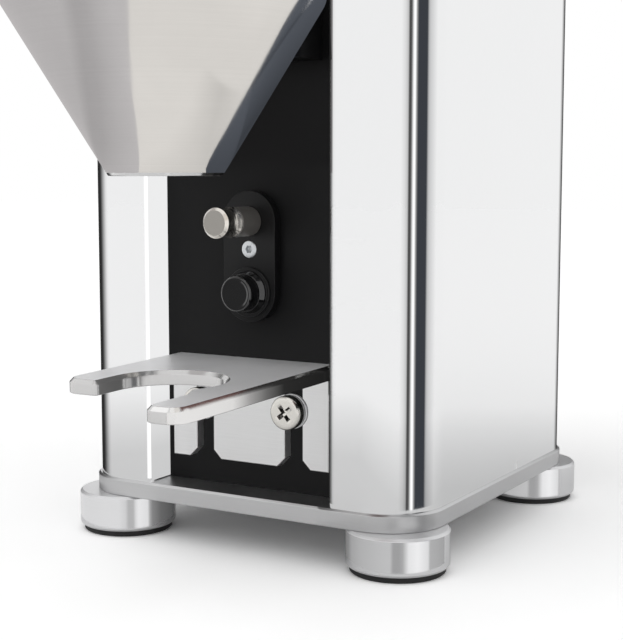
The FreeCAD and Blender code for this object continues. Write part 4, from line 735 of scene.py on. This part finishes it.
# Top plate, adjusting collar and lever
eased("top_plate", 0.7)
key = hexagon(3.4)
top_screw_line = [(0, -13), (4, -13), (4, -5), (6.5, -5), (6.5, -0.6), (6.3, -0.2), (5.9, 0), (4.6, 0),
                  (scaled(key, 1.05), 0), (key, -0.2), (key, -3), (0, -3.5)]
for number, (low, high) in enumerate(loose_spans("top_plate_screws"), 1):
    stand_in("top_plate_screws", lathe(top_screw_line, hex_angles),
             at((low.x + high.x) / 2, (low.y + high.y) / 2, high.z), f"top_plate_screw_{number}")

COLLAR_RADIUS = 64.0
COLLAR_TOP = 26.0
COLLAR_RIBS = 72
RIB_STEPS = 8
RIB_HALF = 0.5
TICKS = 60
TICK_GROUP = 5
TICK_OUTER = 60.8
TICK_LEVELS = (25.9, 26.08)
collar_low, collar_high = span("adjusting_collar")
MOTOR_Y = (collar_low.y + collar_high.y) / 2


def ribbed(angle):
    return COLLAR_RADIUS - RIB_HALF + RIB_HALF * math.cos(COLLAR_RIBS * angle)


collar_line = [(43.3, 0), (63.4, 0), (63.8, 0.2), (COLLAR_RADIUS, 0.6), (COLLAR_RADIUS, 3), (ribbed, 3.8),
               (ribbed, 18.2), (COLLAR_RADIUS, 19), (COLLAR_RADIUS, 23.1), (63.8, 23.7), (61.9, 25.6),
               (61.2, COLLAR_TOP), (39.3, COLLAR_TOP), (39.3, 12), (43.3, 12)]
rib_angles = [math.tau * step / (COLLAR_RIBS * RIB_STEPS) for step in range(COLLAR_RIBS * RIB_STEPS)]
stand_in("adjusting_collar", lathe(collar_line, rib_angles, closed=True), at(0, MOTOR_Y, collar_low.z))
ticks = bmesh.new()
for step in range(TICKS):
    reach, half = (56.8, 0.4) if step % TICK_GROUP == 0 else (58.4, 0.25)
    turn = Matrix.Rotation(math.radians(360 / TICKS * step), 4, "Z")
    outline = [(reach, -half), (TICK_OUTER, -half), (TICK_OUTER, half), (reach, half)]
    loft([[turn @ Vector((x, y, level)) for x, y in outline] for level in TICK_LEVELS], ticks)
piece("collar_ticks", ticks, NODE_BODY["adjusting_collar"], "black_plate", at(0, MOTOR_Y, collar_low.z),
      finish="mark_white")
lever_line = rounded([(0, 0), (4, 0), (4, 36), (5.5, 36), (9, 39.5), (9, 52.5), (5.5, 56), (0, 56)],
                     (0, 0.3, 0.4, 0.8, 3, 3, 2, 0), 6)
lever_low, lever_high = span("collar_lever")
stand_in("collar_lever", lathe(lever_line), at(0, lever_high.y, (lever_low.z + lever_high.z) / 2, FRONT))

# Hopper gate and lid
eased("hopper_gate", 0.7)
cap_line = rounded(
    [(0, 0), (82.7, 0), (82.7, -10), (85.2, -10), (85.2, 0), (90, 0), (90, 5), (9.5, 5), (13, 14.5),
     (9.5, 18), (0, 18)], (0, 0.5, 0.4, 0.6, 0.4, 0.8, 1.8, 2, 1.5, 2, 0), 5)
hopper_high = span("hopper")[1]
stand_in("hopper_lid", lathe(cap_line), at(0, MOTOR_Y, hopper_high.z))

# Back: vented panel with its screws, power switch and cable gland
rear_high = span("rear_panel")[1]
eased("rear_panel", 0.3)
eased("power_switch_frame", 0.5)
eased("power_rocker", 0.4)
SMALL_ARM = 1.9
SMALL_HALF = 0.5
SMALL_HEAD = 2.4
small_cross = cross(SMALL_ARM, SMALL_HALF)
small_angles = cross_angles(SMALL_ARM, SMALL_HALF, 72)
small_head = rounded([(2, 0), (3.6, 0), (3.6, SMALL_HEAD), (2.3, SMALL_HEAD)], (0, 0.2, 1.1, 0), 5)
rear_screw_line = [(0, -4), (2, -4), *small_head, (scaled(small_cross, 1.06), SMALL_HEAD),
                   (scaled(small_cross, 0.96), 2.25), (scaled(small_cross, 0.6), 1.1), (0, 0.9)]
for number, (low, high) in enumerate(loose_spans("rear_panel_screws"), 1):
    stand_in("rear_panel_screws", lathe(rear_screw_line, small_angles),
             at((low.x + high.x) / 2, high.y - SMALL_HEAD, (low.z + high.z) / 2, BACK),
             f"rear_panel_screw_{number}")
nut = hexagon(12)
gland_line = [(4, -9), (7.7, -9), (8, -8.7), (8, 0), (scaled(nut, 0.97), 0), (nut, 0.4), (nut, 5.5),
              (scaled(nut, 0.95), 6), (10.1, 6.05), (10.5, 6.4), (10.5, 14.5), (10.2, 15.3), (7.8, 17.7),
              (7.1, 18), (4.7, 18), (4, 17.3)]
gland_low, gland_high = span("cable_gland")
stand_in("cable_gland", lathe(gland_line, hex_angles, closed=True),
         at((gland_low.x + gland_high.x) / 2, rear_high.y, (gland_low.z + gland_high.z) / 2, BACK))

# Stage: floor and world
FLOOR_HALF = 6000.0
FLOOR_GREY = 0.75
FLOOR_SEEN = 1.36
# In mirrors the floor pales with the distance from a spot, a painted shade that darkens it close round the
# machine
FLOOR_PAINTED_SHADE = 0.9
FLOOR_WHITE = 1.25
PAINTED_SHADE_CENTRE = (-30.0, -30.0, 0.0)
PAINTED_SHADE_START = 253.0
PAINTED_SHADE_END = 523.0
SKY_LIGHT = 0.55
floor_data = bpy.data.meshes.new("floor")
floor_data.from_pydata([(x * FLOOR_HALF * MM, y * FLOOR_HALF * MM, 0)
                        for x, y in ((-1, -1), (1, -1), (1, 1), (-1, 1))], [], [(0, 1, 2, 3)])
floor = bpy.data.objects.new("floor", floor_data)
bpy.context.scene.collection.objects.link(floor)
floor_finish = bpy.data.materials.new("floor")
floor_finish.use_nodes = True
tree = floor_finish.node_tree
tree.nodes.clear()
diffuse = tree.nodes.new("ShaderNodeBsdfDiffuse")
output = tree.nodes.new("ShaderNodeOutputMaterial")
distance = tree.nodes.new("ShaderNodeVectorMath")
distance.operation = "DISTANCE"
distance.inputs[1].default_value = [part * MM for part in PAINTED_SHADE_CENTRE]
coordinates = tree.nodes.new("ShaderNodeTexCoord")
tree.links.new(coordinates.outputs["Object"], distance.inputs[0])
# Painted shade: for mirrors the floor is darker close round the machine
floor_with_painted_shade = ranged(tree, distance.outputs["Value"], FLOOR_PAINTED_SHADE, FLOOR_WHITE, PAINTED_SHADE_START * MM, PAINTED_SHADE_END * MM)
path = tree.nodes.new("ShaderNodeLightPath")
plain = ranged(tree, path.outputs["Is Camera Ray"], FLOOR_GREY, FLOOR_SEEN, 0, 1)
mirrored = maths(tree, "MAXIMUM", path.outputs["Is Glossy Ray"], path.outputs["Is Transmission Ray"])
choice = tree.nodes.new("ShaderNodeMix")
tree.links.new(mirrored, choice.inputs["Factor"])
tree.links.new(plain, choice.inputs["A"])
tree.links.new(floor_with_painted_shade, choice.inputs["B"])
tree.links.new(choice.outputs["Result"], diffuse.inputs["Color"])
tree.links.new(diffuse.outputs[0], output.inputs["Surface"])
floor_data.materials.append(floor_finish)

world = bpy.data.worlds.new("studio")
bpy.context.scene.world = world
world.use_nodes = True
tree = world.node_tree
background = tree.nodes["Background"]
background.inputs["Color"].default_value = (1, 1, 1, 1)
path = tree.nodes.new("ShaderNodeLightPath")
seen = maths(tree, "MAXIMUM", path.outputs["Is Camera Ray"], path.outputs["Is Glossy Ray"])
seen = maths(tree, "MAXIMUM", seen, path.outputs["Is Transmission Ray"])
tree.links.new(ranged(tree, seen, SKY_LIGHT, 1.0, 0, 1), background.inputs["Strength"])

# Cards that shape the reflections
X, Y, Z = range(3)
CARD_STEPS = 90
# How nearly edge on a card is where it begins to clear away and where it is gone
EDGE_CLEAR = (0.9, 0.97)
WALL_CLEAR = (0.8, 0.9)


def stage_card(name, verts, faces, place):
    """A stage card in millimetres that shows only in reflections, and its material's empty node tree."""
    data = bpy.data.meshes.new(name)
    data.from_pydata([Vector(vert) * MM for vert in verts], [], faces)
    obj = bpy.data.objects.new(name, data)
    bpy.context.scene.collection.objects.link(obj)
    obj.matrix_world = place
    obj.visible_camera = False
    obj.visible_diffuse = False
    obj.visible_shadow = False
    obj.visible_transmission = False
    material = bpy.data.materials.new(name)
    material.use_nodes = True
    material.node_tree.nodes.clear()
    data.materials.append(material)
    return material.node_tree


def shine(tree, colour, cover):
    """Lets a card glow with a colour where cover is 1 and be clear where it is 0."""
    glow = tree.nodes.new("ShaderNodeEmission")
    clear = tree.nodes.new("ShaderNodeBsdfTransparent")
    mixed = tree.nodes.new("ShaderNodeMixShader")
    output = tree.nodes.new("ShaderNodeOutputMaterial")
    tree.links.new(colour, glow.inputs["Color"])
    tree.links.new(cover, mixed.inputs[0])
    tree.links.new(clear.outputs[0], mixed.inputs[1])
    tree.links.new(glow.outputs[0], mixed.inputs[2])
    tree.links.new(mixed.outputs[0], output.inputs["Surface"])


def card_axes(tree):
    coordinates = tree.nodes.new("ShaderNodeTexCoord")
    split = tree.nodes.new("ShaderNodeSeparateXYZ")
    tree.links.new(coordinates.outputs["Object"], split.inputs[0])
    return split.outputs


def front_side(tree):
    geometry = tree.nodes.new("ShaderNodeNewGeometry")
    return maths(tree, "SUBTRACT", 1.0, geometry.outputs["Backfacing"])


def card_ramp(tree, value, stops):
    """Colour and cover by a value; stops are (value, brightness or colour, cover)."""
    first, last = stops[0][0], stops[-1][0]
    ramp = tree.nodes.new("ShaderNodeValToRGB")
    tree.links.new(ranged(tree, value, 0, 1, first, last), ramp.inputs["Fac"])
    marks = ramp.color_ramp.elements
    while len(marks) < len(stops):
        marks.new(0.5)
    for mark, (mark_value, level, cover) in zip(marks, stops):
        mark.position = (mark_value - first) / (last - first)
        mark.color = (*level, cover) if isinstance(level, tuple) else (level, level, level, cover)
    return ramp.outputs["Color"], ramp.outputs["Alpha"]


def bent_card(name, x, y, radius, low, high, stops, turn=0):
    """An upright card bent round an upright axis that shows from inside the bend.

    stops are (bearing in degrees from the back towards the right, brightness or colour, cover from 0 to 1),
    and turn is the bearing that they are counted from.
    """
    first, last = stops[0][0], stops[-1][0]
    verts = []
    faces = []
    for step in range(CARD_STEPS + 1):
        bearing = math.radians(first + (last - first) * step / CARD_STEPS)
        for level in (low, high):
            verts.append((radius * math.sin(bearing), radius * math.cos(bearing), level))
        if step:
            faces.append((2 * step - 2, 2 * step, 2 * step + 1, 2 * step - 1))
    tree = stage_card(name, verts, faces, at(x, y, 0) @ Matrix.Rotation(math.radians(-turn), 4, "Z"))
    east, north = card_axes(tree)[:2]
    bearing = maths(tree, "ARCTAN2", east, north)
    colour, cover = card_ramp(tree, bearing, [(math.radians(stop[0]), *stop[1:]) for stop in stops])
    shine(tree, colour, maths(tree, "MULTIPLY", cover, front_side(tree)))


def flat_card(name, axis, place, outline, stops, along=Z, clear=EDGE_CLEAR):
    """A flat card at a place on one axis, from outline points on the other two.

    It shows from the side on which its points run anticlockwise, and clears away where it is seen edge on,
    so that it leaves no line in a mirror. stops are (place in millimetres, brightness or colour).
    """
    verts = [(*point[:axis], place, *point[axis:]) for point in outline]
    tree = stage_card(name, verts, [tuple(range(len(verts)))], UP)
    colour = card_ramp(tree, card_axes(tree)[along], [(spot * MM, level, 1) for spot, level in stops])[0]
    slant = tree.nodes.new("ShaderNodeLayerWeight")
    slant.inputs["Blend"].default_value = 0.5
    faced = ranged(tree, slant.outputs["Facing"], 1, 0, *clear)
    shine(tree, colour, maths(tree, "MULTIPLY", faced, front_side(tree)))


def rectangle(start, end, low, high):
    return [(start, low), (end, low), (end, high), (start, high)]


def even(level, covers):
    """Stops of one brightness or colour for a bent card, from (bearing, cover) pairs."""
    return [(bearing, level, cover) for bearing, cover in covers]


def uniform(level):
    """Stops for a flat card that is the same all over."""
    return ((0, level), (1, level))


def toned(colour, levels):
    """Stops in one colour for a flat card, from (place, share of the colour) pairs."""
    return [(place, tuple(share * channel for channel in colour)) for place, share in levels]


# Tall cards round the covers' corners and narrow ones round the channel's bends
CARD_LOW = 1.0
CARD_HIGH = 1500.0
CARD_RADIUS = 150.0
CORNER_X = cover_high.x - COVER_CORNER
FRONT_CORNER_Y = cover_low.y + COVER_CORNER
REAR_CORNER_Y = cover_high.y - COVER_CORNER
BEND_RADIUS = 9.0
BEND_X = CHANNEL + CHANNEL_BEND
BEND_Y = cover_low.y + CHANNEL_BEND
CHANNEL_LOW = 31.0
CHANNEL_HIGH = 395.0
BLUE_DARK = (0.05, 0.055, 0.065)
DARK = 0.03
bent_card("card_right", CORNER_X, FRONT_CORNER_Y, CARD_RADIUS, CARD_LOW, CARD_HIGH, (
    *even(BLUE_DARK, ((64, 0), (80, 0.3), (84, 0.45), (88, 1), (105, 1))),
    (108, 0.35, 1), (111, 1.25, 1), (113.5, 1.1, 1), (117, 0.2, 1), (119, 0.07, 1), (121, 0.08, 1),
    *even(DARK, ((123.5, 0.38), (128, 0.17), (135, 0)))))
bent_card("card_left", -CORNER_X, FRONT_CORNER_Y, CARD_RADIUS, CARD_LOW, CARD_HIGH, even(
    DARK, ((-117, 0), (-110, 0.13), (-101, 0.54), (-92, 0.87), (-85, 1), (-60, 1))))
bent_card("card_back", CORNER_X, REAR_CORNER_Y, CARD_RADIUS, CARD_LOW, CARD_HIGH, even(
    DARK, ((-12, 1), (3, 1), (12, 0.88), (18, 0.66), (23, 0.42), (27, 0.2), (30.5, 0))))
bent_card("card_bend", -BEND_X, BEND_Y, BEND_RADIUS, CHANNEL_LOW, CHANNEL_HIGH, (
    (45, 1.0, 0), (65, 1.1, 1), (90, 1.3, 1), (150, 1.3, 1), (176, 1.1, 1), (195, 1.0, 0)))
bent_card("card_bend_right", BEND_X, BEND_Y, BEND_RADIUS, CHANNEL_LOW, CHANNEL_HIGH, even(
    DARK, ((-171, 0), (-165, 0.03), (-159, 0.18), (-154, 0.42), (-133, 0.71), (-107, 0.93), (-76, 1),
           (-45, 1))))

# Low cards round the feet, with bearings counted from the front
FOOT_CARD = 42.0
FOOT_CARD_LOW = 0.4
FOOT_CARD_HIGH = 21.0
FROM_FRONT = 180
left_bands = ((-150, 0.08), (-98, 0.16), (-80, 0.27), (-75, 0.45), (-71, 0.85), (-55, 0.93), (-50, 0.8),
              (-46, 0.53), (-38, 0.52), (-33, 0.72), (-22, 0.81), (90, 0.79))
right_bands = ((-116, 0.42), (-79, 0.5), (-75, 0.83), (-57, 1.0), (-43, 0.9), (-34, 0.46), (-28, 0.4),
               (-20, 0.4), (-15, 0.6), (0, 0.58), (36, 0.51), (61, 0.42), (75, 0.27), (95, 0.22))
for corner, bands in (("front_left", left_bands), ("front_right", right_bands),
                      ("rear_right", right_bands[1:])):
    low, high = span(f"foot_{corner}")
    bent_card(f"card_foot_{corner}", (low.x + high.x) / 2, (low.y + high.y) / 2, FOOT_CARD, FOOT_CARD_LOW,
              FOOT_CARD_HIGH, [(bearing, level, 1) for bearing, level in bands], turn=FROM_FRONT)

# Cards close before the channel's two side walls, the start button and the hook
WALL_X = CHANNEL - 1
FLAG_Y = -75.0
wall_stops = ((30, 0.7), (36, 0.705), (47, 0.72), (62, 0.864), (82, 1.0), (400, 1.0))
for hand, x, start, end in (("left", -WALL_X, panel_low.y, -51), ("right", WALL_X, -46, panel_low.y)):
    flat_card(f"card_wall_{hand}", X, x, rectangle(start, end, CHANNEL_LOW, CHANNEL_HIGH), wall_stops)
for name, left, right, low, high, level in (("button", -30, 2, 105, 142, 0.2),
                                            ("hook", -15, 6, 157, 188, 0.39)):
    flat_card(f"card_{name}", Y, FLAG_Y, rectangle(right, left, low, high), uniform(level))

# Cards beside the fork's right edge, and above it for its chamfer and its tips
FORK_CARD_X = 48.5
FORK_CARD_LEFT = 44.0
FORK_CARD_RIGHT = 95.0
FORK_CARD_BACK = -56.0
BROWN_Z = 125.0
WHITE_Z = 150.0
BROWN = (0.13, 0.06, 0.055)
WHITE = 1.5
flat_card("card_fork", X, FORK_CARD_X, [(-34, 82), (-166, 82), (-166, 99.8), (-34, 102)],
          ((-165, 1.0), (-122, 0.9), (-108, 0.42), (-95, 0.18), (-80, 0.03), (-36, 0.015)), along=Y)
flat_card("card_fork_brown", Z, BROWN_Z, rectangle(FORK_CARD_LEFT, FORK_CARD_RIGHT, FORK_CARD_BACK, -152),
          ((-152, BROWN), (-78, BROWN), (-66, DARK), (FORK_CARD_BACK, DARK)), along=Y)
flat_card("card_fork_dark", Y, FORK_CARD_BACK, rectangle(FORK_CARD_LEFT, FORK_CARD_RIGHT, 104, 187),
          uniform(DARK))
flat_card("card_fork_white", Z, WHITE_Z, rectangle(-45, 30, -160, -205), uniform(WHITE))

# Cards close round the funnel: cool on the left and warm on the right of a line, dark on its right flank
FUNNEL_CARD_Z = 188.76
FUNNEL_CARD_TOP = 306.0
FUNNEL_CARD_X = 76.0
FUNNEL_CARD_FRONT = -285.0
FUNNEL_CARD_BACK = -53.0
LEFT_CARD_FRONT = -235.0
LIP_RADIUS = 26.5
LIP_STEPS = 12
COOL_FAR = (0.55, 0.53, 0.53)
WARM = (0.83, 0.80, 0.76)
SLATE = (0.10, 0.11, 0.13)
SLATE_FAR = BLUE_DARK


def round_lip(start, end):
    """Plan points close round the funnel's lip between two bearings, from the front towards the right."""
    turns = [math.radians(start + (end - start) * step / LIP_STEPS) for step in range(LIP_STEPS + 1)]
    return [(LIP_RADIUS * math.sin(turn), FUNNEL_Y - LIP_RADIUS * math.cos(turn)) for turn in turns]


# Where cool meets warm, and where the dark of the flank begins, in plan and up the side
meeting = [(4.7, -132.7), (7, -151), (9.6, -169.9), (16.8, -193), (28, -215), (45, -250),
           (56, FUNNEL_CARD_FRONT)]
flank = [(28, -112), (33, -109.5), (39.5, -105), (45, -100), (57, -87.6), (69, -73.5), (FUNNEL_CARD_X, -64)]
flank_rise = [(-63, FUNNEL_CARD_Z), (-67.6, 203.5), (-75, 218), (-87.6, 241.7), (-91, 248), (-100, 266),
              (-110, FUNNEL_CARD_TOP)]
flat_card("card_funnel_cool", Z, FUNNEL_CARD_Z,
          [*meeting[::-1], *round_lip(370, 180), (0, FUNNEL_CARD_BACK), (-FUNNEL_CARD_X, FUNNEL_CARD_BACK),
           (-FUNNEL_CARD_X, FUNNEL_CARD_FRONT)],
          toned(COOL_FAR, ((-76, 1), (-50, 0.82), (-30, 0.85), (-10, 0.98), (10, 1.09), (40, 1.13))),
          along=X)
flat_card("card_funnel_warm", Z, FUNNEL_CARD_Z,
          [*meeting, (FUNNEL_CARD_X, FUNNEL_CARD_FRONT), *flank[::-1], *round_lip(10, 78)[::-1]],
          toned(WARM, ((-285, 1.01), (-140, 1), (-126, 0.9), (-112, 0.82), (-96, 0.87), (-78, 0.95),
                       (-64, 1))), along=Y)
flat_card("card_funnel_slate", Z, FUNNEL_CARD_Z,
          [*flank, (FUNNEL_CARD_X, FUNNEL_CARD_BACK), (0, FUNNEL_CARD_BACK), *round_lip(78, 180)[::-1]],
          ((0, SLATE_FAR), (60, SLATE)), along=X)
flat_card("card_funnel_left", X, -FUNNEL_CARD_X,
          rectangle(LEFT_CARD_FRONT, FUNNEL_CARD_BACK, FUNNEL_CARD_Z, FUNNEL_CARD_TOP),
          uniform(COOL_FAR), clear=WALL_CLEAR)
flat_card("card_flank_warm", X, FUNNEL_CARD_X,
          [(FUNNEL_CARD_FRONT, FUNNEL_CARD_Z), (FUNNEL_CARD_FRONT, FUNNEL_CARD_TOP), *flank_rise[::-1]],
          uniform(WARM), clear=WALL_CLEAR)
flat_card("card_flank_slate", X, FUNNEL_CARD_X,
          [*flank_rise, (FUNNEL_CARD_BACK, FUNNEL_CARD_TOP), (FUNNEL_CARD_BACK, FUNNEL_CARD_Z)],
          ((-110, SLATE), (-70, SLATE), (FUNNEL_CARD_BACK, SLATE_FAR)), along=Y, clear=WALL_CLEAR)
flat_card("card_pillar", Y, FUNNEL_CARD_BACK, rectangle(0, FUNNEL_CARD_X, FUNNEL_CARD_Z, FUNNEL_CARD_TOP),
          ((30, SLATE_FAR), (FUNNEL_CARD_X, SLATE)), along=X)

# Lights and camera
SUN_SPREAD = 60.0
CAMERA_SPOT = (360.66, -596.305, 188.76)
CAMERA_DIP = 6.241
CAMERA_TURN = 30.214
CAMERA_LENS = 75.61
CAMERA_SENSOR = 36.0


def sun(name, heading, strength):
    """A soft distant light that shines along a heading."""
    lamp = bpy.data.lights.new(name, "SUN")
    lamp.energy = strength
    lamp.angle = math.radians(SUN_SPREAD)
    obj = bpy.data.objects.new(name, lamp)
    bpy.context.scene.collection.objects.link(obj)
    obj.rotation_euler = Vector(heading).to_track_quat("-Z", "Y").to_euler()
    obj.visible_glossy = False
    obj.visible_transmission = False


sun("key", (0.5, 0.6, -1.0), 0.7)
sun("fill", (-0.7, 0.3, -0.8), 0.35)

camera_data = bpy.data.cameras.new("camera")
camera_data.sensor_width = CAMERA_SENSOR
camera_data.lens = CAMERA_LENS
camera = bpy.data.objects.new("camera", camera_data)
bpy.context.scene.collection.objects.link(camera)
camera.location = [part * MM for part in CAMERA_SPOT]
camera.rotation_euler = (math.radians(90 - CAMERA_DIP), 0, math.radians(CAMERA_TURN))
bpy.context.scene.camera = camera
bpy.context.scene.view_settings.view_transform = "Standard"
